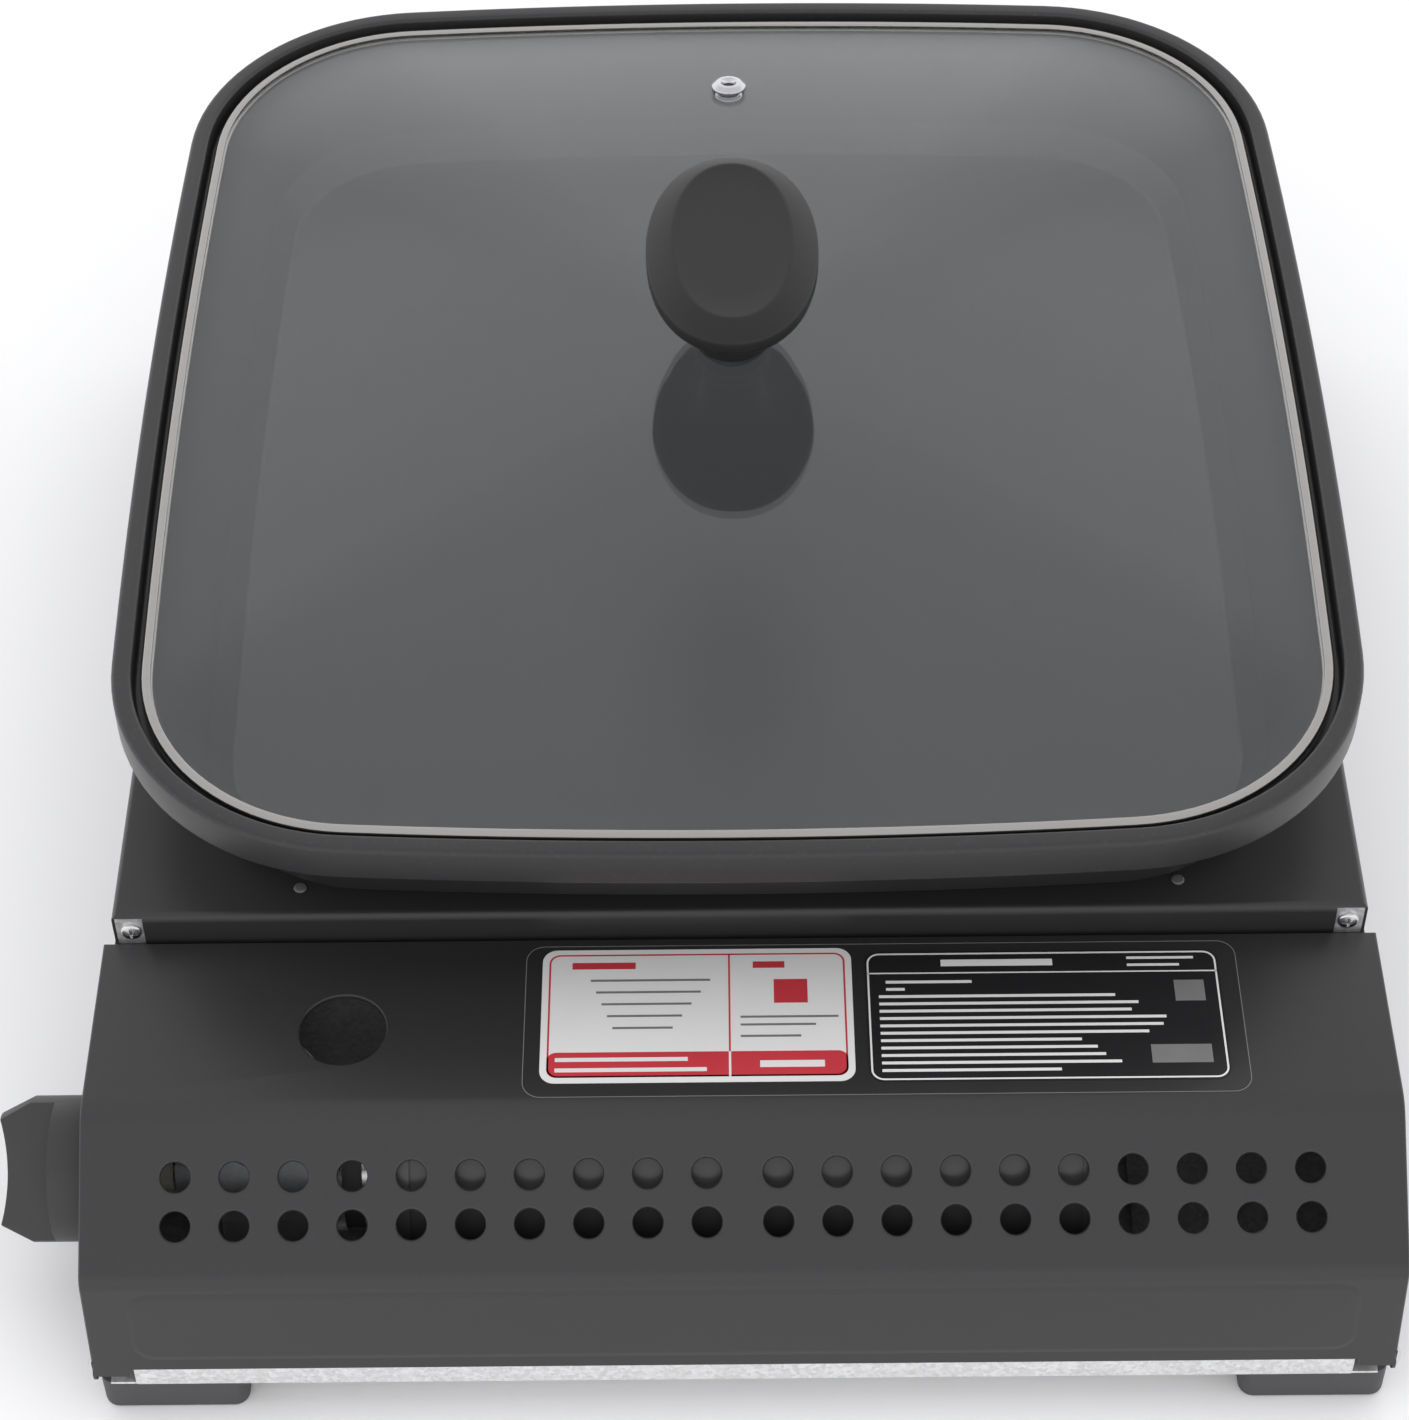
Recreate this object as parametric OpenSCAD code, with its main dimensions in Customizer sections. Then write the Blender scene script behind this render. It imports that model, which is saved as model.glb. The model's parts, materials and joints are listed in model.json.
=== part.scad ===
// Portable gas hot plate: a folded steel body with a cartridge bay across its front, a gas
// burner behind it, and a rounded-square coated pan with a domed glass lid.
// Built with the body's centre line at x = 0 and the top plate's front fold at y = 0;
// place() then moves every node so that the origin lies under the middle of the whole box.

/* [Body] */
// Width of the painted body over its side panels
body_w = 339.4; // [320:0.2:400]
// Depth of the burner housing behind the front fold
body_d = 332; // [320:1:380]
// Height of the top plate's upper face
top_z = 89.5; // [88:0.5:110]
// Thickness of the steel sheet
sheet = 0.8; // [0.6:0.1:1.2]
// Height of the rubber feet
foot_h = 12.5; // [11:0.5:16]
// Length of a foot across the body
foot_l = 39; // [24:1:44]
// Depth of a foot
foot_d = 22; // [20:1:40]
// How far the feet stand out beyond the side panels
foot_out = 2.4; // [0:0.1:2.8]
// Width of the notch in each front corner of the step
notch_w = 9; // [7:0.5:12]
// Height of the notch below the top plate
notch_h = 11; // [8:0.5:12]

/* [Cartridge cover] */
// Width of the cover over its end flanges
cover_w = 345; // [325:1:405]
// Height of the cover's flat upper face
cover_z = 80.5; // [80:0.5:100]
// Gap between the cover's back edge and the step behind it
cover_gap = 1.2; // [0.8:0.1:3]
// Depth of the flat upper face, back edge to first bend
cover_flat = 56.7; // [55:0.1:70]
// Length of the vented facet
facet_l = 44.5; // [42:0.5:52]
// Slope of the vented facet
facet_a = 37; // [34:0.5:40]
// Slope of the lower facet
lower_a = 80.5; // [78:0.5:84]
// Height of the cover's lowest corner above the ground
ear_z = 19.2; // [17:0.1:21]
// Height of the cover's lower edge between its ears
edge_z = 21.8; // [19:0.1:24]
// Outer radius of the first bend
bend_r1 = 12; // [6:1:16]
// Outer radius of the second bend
bend_r2 = 7; // [4:1:10]
// Depth of the end flanges and of the back lip
flange_d = 5; // [3:0.5:6]
// Diameter of the round viewing hole
view_d = 23; // [16:0.5:26]
// Vent holes in a row
vent_n = 20; // [10:1:20]
// Diameter of a vent hole
vent_d = 7.8; // [5:0.1:9]
// Pitch of the vent holes
vent_pitch = 15.35; // [12:0.05:16]
// Extra gap between the two middle vent holes
vent_mid = 3.2; // [0:0.1:6]
// Distance between the two rows of vent holes
vent_rows = 12.7; // [10:0.1:16]
// Distance along the facet from the first bend to the middle between the rows
vent_down = 23.35; // [20:0.05:25]

/* [Cover hinge] */
// Distance of the hinge rivets behind the cover's lowest corner
rivet_in = 3.9; // [3.8:0.1:6]
// Height of the hinge rivets
rivet_z = 18.8; // [17:0.1:20]
// Diameter of a rivet's shank
rivet_d = 3.2; // [2.4:0.1:3.4]
// Diameter of a rivet's domed head
rivet_head_d = 6.8; // [5:0.1:7.4]
// Height of a rivet's domed head
rivet_head_h = 1.8; // [1:0.1:3]
// Radial clearance of the cover's ears on the rivets
rivet_fit = 0.06; // [0.03:0.01:0.1]

/* [Cartridge] */
// Diameter of the cartridge's body
can_d = 66; // [60:0.5:67]
// Diameter of its two seams
seam_d = 68.2; // [67.5:0.1:69]
// Length of the cartridge from seam to seam
can_l = 183; // [150:1:190]
// Distance of the cartridge's axis behind the hinge side of the fold
can_y = 44; // [40:0.5:46]
// Clearance under the seams
can_gap = 0.3; // [0.2:0.1:1]
// Free travel of the cartridge away from its seat
can_slide = 12; // [8:1:16]
// Depth of the trough pressed into the tray under the cartridge
trough_h = 3.5; // [2.5:0.1:4]

/* [Gas valve and knob] */
// Diameter of the gas knob
knob_d = 39.2; // [34:0.2:42]
// Length of the gas knob outside the side panel
knob_l = 25.8; // [20:0.2:34]
// Width of the knob's grip bar
grip_w = 13; // [9:0.5:18]
// Lean of the grip bar towards the back when the gas is off
grip_lean = 47; // [0:1:60]
// Distance of the knob's axis in front of the fold
knob_y = 49.5; // [46:0.5:54]
// Height of the knob's axis
knob_z = 44; // [42:0.5:48]
// Diameter of the valve spindle
spindle_d = 8; // [6:0.5:10]
// Radial clearance of the spindle in its bores
spindle_fit = 0.05; // [0.03:0.01:0.1]
// Turn of the knob from off to full
knob_turn = 110; // [80:5:130]
// Stroke of the igniter's plunger over that turn
strike = 4; // [2:0.5:6]

/* [Burner] */
// Diameter of the burner head
head_d = 108; // [90:1:120]
// Height of the burner cap's top
cap_z = 84; // [80:0.5:86]
// Width of the opening in the top plate
well_w = 226; // [200:1:250]
// Depth of the opening in the top plate
well_l = 250; // [200:1:260]
// Height of the gas pipe and mixing tube
pipe_z = 44; // [40:0.5:50]
// Diameter of the gas pipe
pipe_d = 6; // [5:0.5:8]

/* [Pan] */
// Width of the pan over its rim
pan_w = 340.6; // [300:0.2:360]
// Depth of the pan over its rim
pan_l = 365; // [320:1:380]
// Radius of the pan's corners
pan_r = 69.5; // [50:0.5:90]
// Radius of the bowed front and back edges
bow_front = 1716; // [800:1:4000]
// Radius of the bowed side edges
bow_side = 3160; // [800:1:6000]
// Height of the rim's top
rim_z = 138; // [135:0.5:150]
// Height of the rim's skirt
skirt_h = 11.6; // [8:0.2:18]
// Width of the flat rim
rim_w = 5.4; // [4:0.1:6]
// Thickness of the pan's walls
pan_t = 3; // [2:0.1:4]
// Thickness of the pan's floor
floor_t = 4; // [2:0.1:6]
// Depth of the lid's seat below the rim
seat_h = 6.7; // [5:0.1:9]
// Inner depth of the pan below the rim
pan_depth = 41; // [30:0.5:44]
// How far the wall slopes in towards the floor
pan_slope = 12.5; // [8:0.5:20]
// Distance of the pan's centre behind the fold
pan_y = 161.5; // [155:0.5:175]

/* [Lid] */
// Gap between the rim and the lid's steel band
lid_gap = 2.2; // [0.8:0.1:2.4]
// Clearance under the lid's steel band
lid_rest = 0.3; // [0.1:0.1:0.5]
// Height of the lid's steel band
band_h = 4.5; // [4:0.1:6]
// Width of the band's lips
band_w = 2.8; // [2:0.1:4]
// Rise of the glass dome
dome_rise = 16.5; // [8:0.1:20]
// Thickness of the glass
glass_t = 3.4; // [3:0.1:5]
// Width of the lid knob
lid_knob_w = 48.5; // [40:0.5:60]
// Length of the lid knob
lid_knob_l = 81; // [60:0.5:90]
// Height of the lid knob above the glass
lid_knob_h = 37.5; // [30:0.5:44]
// Distance of the steam vent from the lid's centre
vent_y = 131; // [120:0.5:140]
// Diameter of the steam vent's flange
vent_flange_d = 10.8; // [9:0.1:14]
// Bore of the steam vent
vent_bore_d = 3.6; // [2:0.1:3.9]

/* [Hidden] */
$fn = 48;
e = 0.01;

// Body and bay
side_x = body_w / 2;
tray_z = foot_h;
floor_z = tray_z + sheet;
trough_z = floor_z - trough_h;
clear = 0.3;
// Fixings: foot screws, side screws, corner screws and the two dots on the top plate
foot_bore_r = 2.1;
foot_well_r = 4.2;
foot_well_h = 4;
side_bore_r = 1.6;
side_screw_z = tray_z + 8;
tab_x = side_x - 5;
tab_z = top_z - sheet - notch_h / 2;
dots = [[-119, 10], [119, 10]];
// Louvre slots: half length and height
slot_l = 7;
slot_h = 3;
// Middle of the viewing hole, in (x, y), and the stickers, as x0, x1, y0, y1
view_at = [-105.5, -31.5];
pale_box = [-53, 30, -50, -5.5];
dark_box = [33.5, 128.5, -50.5, -7];
label_t = 0.25;

// Cover profile: the two bend corners and the lowest corner, in (y, z)
bend_1 = [-cover_gap - cover_flat, cover_z];
bend_2 = bend_1 - facet_l * [cos(facet_a), sin(facet_a)];
lower_l = (bend_2.y - ear_z) / sin(lower_a);
ear_p = bend_2 - lower_l * [cos(lower_a), sin(lower_a)];
arc_n = 6;
function out_n(a) = [-sin(a), cos(a)];
function run_d(a) = [-cos(a), -sin(a)];
function bend_c(p, r, a, b) = p - r * tan((b - a) / 2) * run_d(a) - r * out_n(a);
function bend_arc(c, r, a, b) = [for (i = [0:arc_n]) c + r * out_n(a + (b - a) * i / arc_n)];
function cover_path(o) = concat([[-cover_gap, cover_z - o]],
    bend_arc(bend_c(bend_1, bend_r1, 0, facet_a), bend_r1 - o, 0, facet_a),
    bend_arc(bend_c(bend_2, bend_r2, facet_a, lower_a), bend_r2 - o, facet_a, lower_a),
    [ear_p - o * out_n(lower_a)]);
function turned(p) = [for (i = [len(p) - 1:-1:0]) p[i]];
rivet_y = ear_p.x + rivet_in;
ear_r = rivet_in - 0.1;
// Fixed metal inside this radius clears the cover's corners as they swing under the rivets
hub_r = rivet_in - sheet - 0.6;
// Half width of the cut-out between the cover's ears, and how far in the tray's lip stands
cut_x = 162.5;
strip_in = 2;

// Cartridge: its axis, and where its valve end meets the magnets
can_z = trough_z + can_gap + seam_d / 2;
can_x0 = -90.5;
can_x1 = can_x0 + can_l;
seam_l = 3.5;
shoulder_l = 5;
collar_l = 5;
collar_r = 22;
collar_x = can_x0 - shoulder_l - collar_l;
stem_r = 2.5;
stem_l = 7;
magnet_x = collar_x - clear;
magnet_l = 5;
holder_x = magnet_x - magnet_l;
holder_l = 4.5;
reg_x1 = holder_x - holder_l;
reg_l = 35;
reg_x0 = reg_x1 - reg_l;
reg_r = 19;

// Knob and spindle
panel_x = -side_x;
bezel_t = 1.5;
knob_x0 = panel_x - bezel_t - 1.7;
knob_x1 = knob_x0 - knob_l;
cam_x = reg_x0 - 12;
cam_w = 5;
cam_r = 6.5;
strike_k = strike / knob_turn;

// Burner
burner_y = pan_y;
cap_t = 4;
head_z = cap_z - cap_t;
throat_r = 27;
cone_z0 = 58;
cone_z1 = 70;
pipe_x = (reg_x0 + reg_x1) / 2;
pipe_y = 18;
injector_y = 30;
injector_l = 12;
mouth_y = injector_y + injector_l + 6;

// Pan outline: two bow circles and a corner circle that touches both of them
half_w = pan_w / 2;
half_l = pan_l / 2;
bow_1 = [0, half_l - bow_front];
bow_2 = [half_w - bow_side, 0];
bow_gap = bow_2 - bow_1;
bow_d = norm(bow_gap);
bow_k = (pow(bow_front - pan_r, 2) - pow(bow_side - pan_r, 2) + bow_d * bow_d) / (2 * bow_d);
bow_h = sqrt(pow(bow_front - pan_r, 2) - bow_k * bow_k);
corner_c = bow_1 + bow_k * bow_gap / bow_d + bow_h * [bow_gap.y, -bow_gap.x] / bow_d;
corner_a = atan2(corner_c.y - bow_1.y, corner_c.x);
corner_b = atan2(corner_c.y, corner_c.x - bow_2.x);
side_n = 3;
corner_n = 9;
function dir(a) = [cos(a), sin(a)];
function quarter(o) = concat(
    [for (i = [0:side_n]) bow_1 + (bow_front - o) * dir(90 + (corner_a - 90) * i / side_n)],
    [for (i = [1:corner_n])
        corner_c + (pan_r - o) * dir(corner_a + (corner_b - corner_a) * i / corner_n)],
    [for (i = [1:side_n]) bow_2 + (bow_side - o) * dir(corner_b * (1 - i / side_n))]);
function flip(q, sx, sy) = [for (p = q) [p.x * sx, p.y * sy]];
function closed(q) = let (n = len(q)) concat(q,
    turned(flip([for (i = [0:n - 2]) q[i]], 1, -1)),
    flip([for (i = [1:n - 1]) q[i]], -1, -1),
    turned(flip([for (i = [1:n - 2]) q[i]], -1, 1)));
function outline(o) = closed(quarter(o));

// Pan heights
seat_z = rim_z - seat_h;
pan_floor_z = rim_z - pan_depth;
pan_base_z = pan_floor_z - floor_t;
seat_w = 5.2;
wall_o = rim_w + seat_w;

// Lid heights
lid_o = rim_w + lid_gap;
band_z = seat_z + lid_rest;
glass_o = lid_o + 1;
glass_z0 = band_z + sheet;
glass_z1 = band_z + band_h - sheet;
dome_s = [1, 0.93, 0.84, 0.67, 0.45, 0.25, 0.08];
dome_top = 1 - pow(dome_s[6], 2);
function dome_f(s) = (1 - s * s) / dome_top;
glass_top = glass_z1 + dome_rise;
dome_o = lid_o + band_w;
vent_s = vent_y / (half_l - dome_o);
vent_dz = dome_rise * (dome_f(dome_s[3]) - dome_f(dome_s[2]));
vent_tilt = atan(vent_dz / ((dome_s[2] - dome_s[3]) * (half_l - dome_o)));
vent_z = glass_z1 + dome_rise * dome_f(dome_s[2])
    + vent_dz * (dome_s[2] - vent_s) / (dome_s[2] - dome_s[3]);
seal_t = 1;
neck_foot_r = 11;
neck_r = 9;
knob_top_z = glass_top + lid_knob_h;

// Drip pan and the plate's opening
well_r = 18;
well_z = 72;
well_hole_r = head_d / 2 + 11;
post_h = pan_base_z - clear - well_z - sheet;

// Middle of the whole box
box_x0 = knob_x1;
box_x1 = cover_w / 2 + rivet_head_h;
box_y0 = ear_p.x;
box_y1 = pan_y + half_l;

module place() {
    translate([-(box_x0 + box_x1) / 2, -(box_y0 + box_y1) / 2, 0]) children();
}

module block(x0, x1, y0, y1, z0, z1) {
    translate([x0, y0, z0]) cube([x1 - x0, y1 - y0, z1 - z0]);
}

module rod_x(x0, x1, y, z, r) {
    translate([x0, y, z]) rotate([0, 90, 0]) cylinder(h = x1 - x0, r = r);
}

module rod_y(x, y0, y1, z, r) {
    translate([x, y0, z]) rotate([-90, 0, 0]) cylinder(h = y1 - y0, r = r);
}

module rod_z(x, y, z0, z1, r) {
    translate([x, y, z0]) cylinder(h = z1 - z0, r = r);
}

// A round bar from one point to another
module bar(a, b, r) {
    v = b - a;
    translate(a) rotate([0, acos(v.z / norm(v)), atan2(v.y, v.x)]) cylinder(h = norm(v), r = r);
}

// A profile in (y, z) pulled along x
module pulled(x0, x1, p) {
    translate([x0, 0, 0]) rotate([90, 0, 90]) linear_extrude(x1 - x0) polygon(p);
}

module mirrored() {
    children();
    mirror([1, 0, 0]) children();
}

// A slab of the pan's outline, moved inwards by o
module slab(o, z0, z1) {
    translate([0, pan_y, z0]) linear_extrude(z1 - z0) polygon(outline(o));
}

// A slab of the top plate's rounded opening, moved inwards by o
module well(o, z0, z1) {
    x = well_w / 2 - well_r;
    y = well_l / 2 - well_r;
    r = well_r - o;
    for (sx = [-1, 1]) for (sy = [-1, 1]) rod_z(sx * x, burner_y + sy * y, z0, z1, r);
    block(-x, x, burner_y - y - r, burner_y + y + r, z0, z1);
    block(-x - r, x + r, burner_y - y, burner_y + y, z0, z1);
}

// A pan-head screw that points along -z from its seat, with a cross recess
module screw(head_r, head_h, shank_r, shank_l) {
    difference() {
        union() {
            cylinder(h = head_h, r = head_r);
            translate([0, 0, -shank_l]) cylinder(h = shank_l, r = shank_r);
        }
        for (a = [0, 90]) rotate([0, 0, a])
            translate([-head_r * 0.6, -head_r * 0.12, head_h * 0.45])
                cube([head_r * 1.2, head_r * 0.24, head_h]);
    }
}

module base_tray() color("silver") place() {
    inner = side_x - sheet - 0.1;
    front = ear_p.x + strip_in;
    back = body_d - sheet - 0.1;
    wall_z = tray_z + 14;
    trough = [can_x0 - 4, can_x1 + can_slide + 4, -can_y - 27, -can_y + 27];
    difference() {
        union() {
            block(-inner, inner, front, back, tray_z, floor_z);
            block(trough[0], trough[1], trough[2], trough[3], trough_z - sheet, tray_z);
            block(-cut_x + 0.5, cut_x - 0.5, front, front + sheet, floor_z, edge_z + 1);
            block(-inner, inner, back - sheet, back, floor_z, wall_z);
            mirrored() block(inner - sheet, inner, rivet_y + rivet_in, back - sheet, floor_z, wall_z);
        }
        block(trough[0] + sheet, trough[1] - sheet, trough[2] + sheet, trough[3] - sheet,
            trough_z, floor_z + 1);
        for (x = [-90:45:90]) for (y = [60:40:100])
            block(x - 14, x + 14, y - 3, y + 3, tray_z - 1, floor_z + 1);
        foot_places() rod_z(0, 0, tray_z - 1, floor_z + 1, foot_bore_r);
        for (y = side_screw_y()) mirrored()
            rod_x(inner - sheet - 1, inner + 1, y, side_screw_z, side_bore_r);
    }
}

function side_screw_y() = [40, body_d - 50];

module foot_places() {
    mirrored() {
        for (y = [ear_p.x + 2.4 + foot_d / 2, body_d - 8 - foot_d / 2])
            translate([side_x + foot_out - foot_l / 2, y, 0]) children();
    }
}

module feet() color("#2c2b2d") place() {
    round_r = 4;
    foot_places() difference() {
        union() {
            for (x = [-1, 1]) for (y = [-1, 1])
                rod_z(x * (foot_l / 2 - round_r), y * (foot_d / 2 - round_r), 0, foot_h, round_r);
            block(-foot_l / 2 + round_r, foot_l / 2 - round_r, -foot_d / 2, foot_d / 2, 0, foot_h);
            block(-foot_l / 2, foot_l / 2, -foot_d / 2 + round_r, foot_d / 2 - round_r, 0, foot_h);
        }
        rod_z(0, 0, -1, foot_h + 1, foot_bore_r);
        rod_z(0, 0, -1, foot_h - foot_well_h, foot_well_r);
    }
}

module foot_screws() color("silver") place() {
    foot_places() translate([0, 0, foot_h - foot_well_h]) rotate([180, 0, 0])
        screw(3.6, 2.2, 2, 8);
}

module hinge_hole(x, r) {
    rod_x(x - 12, x + 12, rivet_y, rivet_z, r);
}

// Side panel outline: burner housing behind, bay end in front under the cover
function bay_path() = [for (p = cover_path(sheet + 1)) if (p.y > rivet_z + 1) p];
function side_path() = concat([[body_d, tray_z], [body_d, top_z], [0, top_z], [0, cover_z - 1.8]],
    bay_path(), [[ear_p.x + sheet + 1.1, rivet_z + 0.5], [rivet_y - hub_r * 0.5, rivet_z - hub_r * 0.85],
    [rivet_y + rivet_in / 2, rivet_z - hub_r * 0.85], [rivet_y + rivet_in / 2, tray_z]]);

module body_shell() color("#242426") place() {
    step_z = cover_z - 14;
    difference() {
        union() {
            difference() {
                block(-side_x, side_x, 0, body_d, top_z - sheet, top_z);
                well(0, top_z - 2, top_z + 1);
            }
            block(-side_x + sheet, side_x - sheet, 0, sheet, step_z, top_z - sheet);
            block(-side_x + sheet, side_x - sheet, body_d - sheet, body_d, tray_z, top_z - sheet);
            mirrored() pulled(side_x - sheet, side_x, side_path());
        }
        mirrored() block(side_x - notch_w, side_x - sheet, -1, sheet + 0.01,
            top_z - sheet - notch_h, top_z - sheet);
        for (x = [-120:20:120]) for (z = [top_z - 30, top_z - 42])
            block(x - slot_l, x + slot_l, body_d - 2, body_d + 1, z, z + slot_h);
        for (y = [90:20:250])
            block(-side_x - 1, side_x + 1, y - slot_l + 1, y + slot_l - 1, top_z - 32, top_z - 32 + slot_h);
        rod_x(-side_x - 1, -side_x + 2, -knob_y, knob_z, spindle_d / 2 + 1);
        mirrored() hinge_hole(side_x, rivet_d / 2 + rivet_fit);
        for (y = side_screw_y()) mirrored() rod_x(side_x - 2, side_x + 1, y, side_screw_z, side_bore_r);
        for (p = dots) rod_z(p.x, p.y, top_z - 2, top_z + 1, 1.05);
    }
}

module heat_shield() color("silver") place() {
    inner = side_x - sheet - 0.1;
    difference() {
        union() {
            block(-inner + 1.2, inner - 1.2, sheet, 2 * sheet, floor_z, top_z - sheet);
            block(-inner, inner, sheet, 2 * sheet, tray_z + 15, top_z - sheet);
            block(-inner, inner, 2 * sheet, 16, top_z - 2 * sheet, top_z - sheet);
            mirrored() block(inner - 9, inner, 2 * sheet, 4, tab_z - 4, tab_z + 4);
        }
        rod_y(pipe_x, -1, 4, pipe_z, pipe_d / 2 + 1);
        // Slots for the heat panel and for the igniter's lead
        block(-32, 32, -1, 4, floor_z - 1, floor_z + 5);
        block(-162, -152, -1, 4, floor_z + 6, floor_z + 16);
        mirrored() rod_y(tab_x, -1, 6, tab_z, 1.5);
        for (p = dots) rod_z(p.x, p.y, top_z - 3, top_z, 1.05);
    }
}

module corner_screws() color("silver") place() {
    mirrored() translate([tab_x, sheet, tab_z]) rotate([90, 0, 0]) screw(2.9, 1.6, 1.45, 5);
}

module shell_rivets() color("#242426") place() {
    for (p = dots) {
        rod_z(p.x, p.y, top_z - 2.6, top_z, 1);
        rod_z(p.x, p.y, top_z, top_z + 0.7, 1.9);
    }
}

module side_screws() color("silver") place() {
    for (y = side_screw_y()) mirrored()
        translate([side_x, y, side_screw_z]) rotate([0, 90, 0]) screw(3, 1.8, 1.5, 4);
}

// Centre of the vented facet, in (y, z)
function facet_p(t) = bend_1 + t * run_d(facet_a);

module vent_holes() {
    for (row = [-0.5, 0.5]) for (i = [0:vent_n - 1]) {
        c = facet_p(vent_down + row * vent_rows);
        x = (i - (vent_n - 1) / 2) * vent_pitch + (i < vent_n / 2 ? -0.5 : 0.5) * vent_mid;
        translate([x, c.x, c.y]) rotate([facet_a, 0, 0]) cylinder(h = 6, d = vent_d, center = true);
    }
}

module cartridge_cover() color("#2a2a2c") place() {
    end_x = cover_w / 2;
    difference() {
        union() {
            pulled(-end_x, end_x, concat(cover_path(0), turned(cover_path(sheet))));
            block(-side_x + 1.2, side_x - 1.2, -cover_gap - sheet, -cover_gap, cover_z - flange_d,
                cover_z - sheet);
            mirrored() pulled(end_x - sheet, end_x,
                concat(cover_path(sheet), turned(cover_path(flange_d))));
            mirrored() rod_x(end_x - sheet, end_x, rivet_y, rivet_z, ear_r);
            mirrored() block(end_x - sheet, end_x, rivet_y - 2.6, rivet_y + ear_r, rivet_z, ear_z + 4);
        }
        block(-cut_x, cut_x, ear_p.x - 2, ear_p.x + 8, ear_z - 6, edge_z);
        translate([view_at.x, view_at.y, cover_z]) cylinder(h = 6, d = view_d, center = true);
        vent_holes();
        mirrored() hinge_hole(end_x, rivet_d / 2 + rivet_fit);
    }
}

module hinge_rivets() color("silver") place() {
    dome_r = (pow(rivet_head_d / 2, 2) + pow(rivet_head_h, 2)) / (2 * rivet_head_h);
    dome_a = asin(rivet_head_d / 2 / dome_r);
    top_x = cover_w / 2 + rivet_head_h;
    r = rivet_d / 2;
    hub = hub_r - 0.1;
    tail_x = side_x - sheet;
    collar = cover_w / 2 - sheet - rivet_fit;
    profile = concat([[0, tail_x - 1], [hub, tail_x - 1], [hub, tail_x], [r, tail_x],
        [r, side_x], [hub, side_x], [hub, collar], [r, collar], [r, cover_w / 2 + rivet_fit]],
        [for (i = [6:-1:0]) let (a = dome_a * i / 6) [dome_r * sin(a), top_x - dome_r * (1 - cos(a))]]);
    mirrored() translate([0, rivet_y, rivet_z]) rotate([0, 90, 0]) rotate_extrude() polygon(profile);
}

module sticker(b) {
    block(b[0], b[1], b[2], b[3], cover_z, cover_z + label_t);
}

module label_white() color("#e8e8e6") place() sticker(pale_box);

module label_black() color("#1b1b1c") place() sticker(dark_box);

module cartridge_can() color("#d9d9d4") place() {
    r = can_d / 2;
    seam_r = seam_d / 2;
    can_t = 1;
    difference() {
        union() {
            rod_x(can_x0, can_x1, -can_y, can_z, r);
            rod_x(can_x0, can_x0 + seam_l, -can_y, can_z, seam_r);
            rod_x(can_x1 - seam_l, can_x1, -can_y, can_z, seam_r);
            translate([can_x0, -can_y, can_z]) rotate([0, -90, 0])
                cylinder(h = shoulder_l, r1 = r - 3, r2 = collar_r);
        }
        rod_x(can_x1 - 3, can_x1 + 1, -can_y, can_z, r - 3);
        rod_x(can_x0 + can_t, can_x1 - 3 - can_t, -can_y, can_z, r - can_t);
        rod_x(collar_x - 1, can_x0 + can_t + 1, -can_y, can_z, stem_r);
    }
}

module cartridge_collar() color("#c9c9c5") place() {
    difference() {
        rod_x(collar_x, collar_x + collar_l, -can_y, can_z, collar_r);
        rod_x(collar_x - 1, collar_x + collar_l - 1.2, -can_y, can_z, collar_r - 6);
        rod_x(collar_x - 1, collar_x + collar_l + 1, -can_y, can_z, stem_r);
        block(collar_x - 1, collar_x + 3, -can_y - 3, -can_y + 3, can_z + collar_r - 8,
            can_z + collar_r + 1);
    }
}

module cartridge_stem() color("gold") place() {
    rod_x(collar_x - stem_l, can_x0, -can_y, can_z, stem_r - 0.02);
}

module cartridge_cradle() color("silver") place() {
    for (x = [-62, 62]) difference() {
        block(x - 6, x + 6, -can_y - 22, -can_y + 22, trough_z, trough_z + 9);
        rod_x(x - 7, x + 7, -can_y, can_z, can_d / 2 + clear);
    }
}

module magnet_holder() color("silver") place() {
    difference() {
        union() {
            rod_x(holder_x - holder_l, holder_x, -can_y, can_z, collar_r);
            rod_x(holder_x, holder_x + magnet_l - 1.5, -can_y, can_z, 6);
        }
        rod_x(holder_x - holder_l - 1, holder_x + magnet_l, -can_y, can_z, stem_r + clear);
    }
}

module magnet_ring() color("#3a3a3c") place() {
    difference() {
        rod_x(holder_x, magnet_x, -can_y, can_z, collar_r - 1);
        rod_x(holder_x - 1, magnet_x + 1, -can_y, can_z, 12);
    }
}

module regulator_body() color("#b9babc") place() {
    boss_r = spindle_d / 2 + 5;
    difference() {
        union() {
            rod_x(reg_x0, reg_x1, -can_y, can_z, reg_r);
            rod_x(cam_x + cam_w + 1, reg_x0, -knob_y, knob_z, boss_r);
            rod_z(pipe_x, -can_y, can_z, can_z + reg_r + 5, 15);
            rod_y(pipe_x, -can_y, -can_y + reg_r + 5, pipe_z, 6.5);
            block(reg_x0 + 4, reg_x1 - 4, -can_y - 22, -can_y + 22, floor_z, floor_z + 3);
            block(reg_x0 + 4, reg_x1 - 4, -can_y - 12, -can_y + 12, floor_z, can_z - 8);
        }
        rod_x(reg_x1 - 8, reg_x1 + 1, -can_y, can_z, stem_r + clear);
        rod_x(cam_x, reg_x0 + 10, -knob_y, knob_z, spindle_d / 2 + spindle_fit);
        rod_y(pipe_x, -can_y + 6, -can_y + reg_r + 6, pipe_z, pipe_d / 2 - 1);
    }
}

module regulator_screws() color("silver") place() {
    for (y = [-18, 18]) for (x = [reg_x0 + 9, reg_x1 - 9])
        translate([x, -can_y + y, floor_z + 3]) cylinder(h = 2.2, r = 3);
}

module diaphragm_cap() color("#a7a8aa") place() {
    z = can_z + reg_r + 5;
    rod_z(pipe_x, -can_y, z, z + 4, 17);
    rod_z(pipe_x, -can_y, z + 4, z + 6, 8);
}

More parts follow.
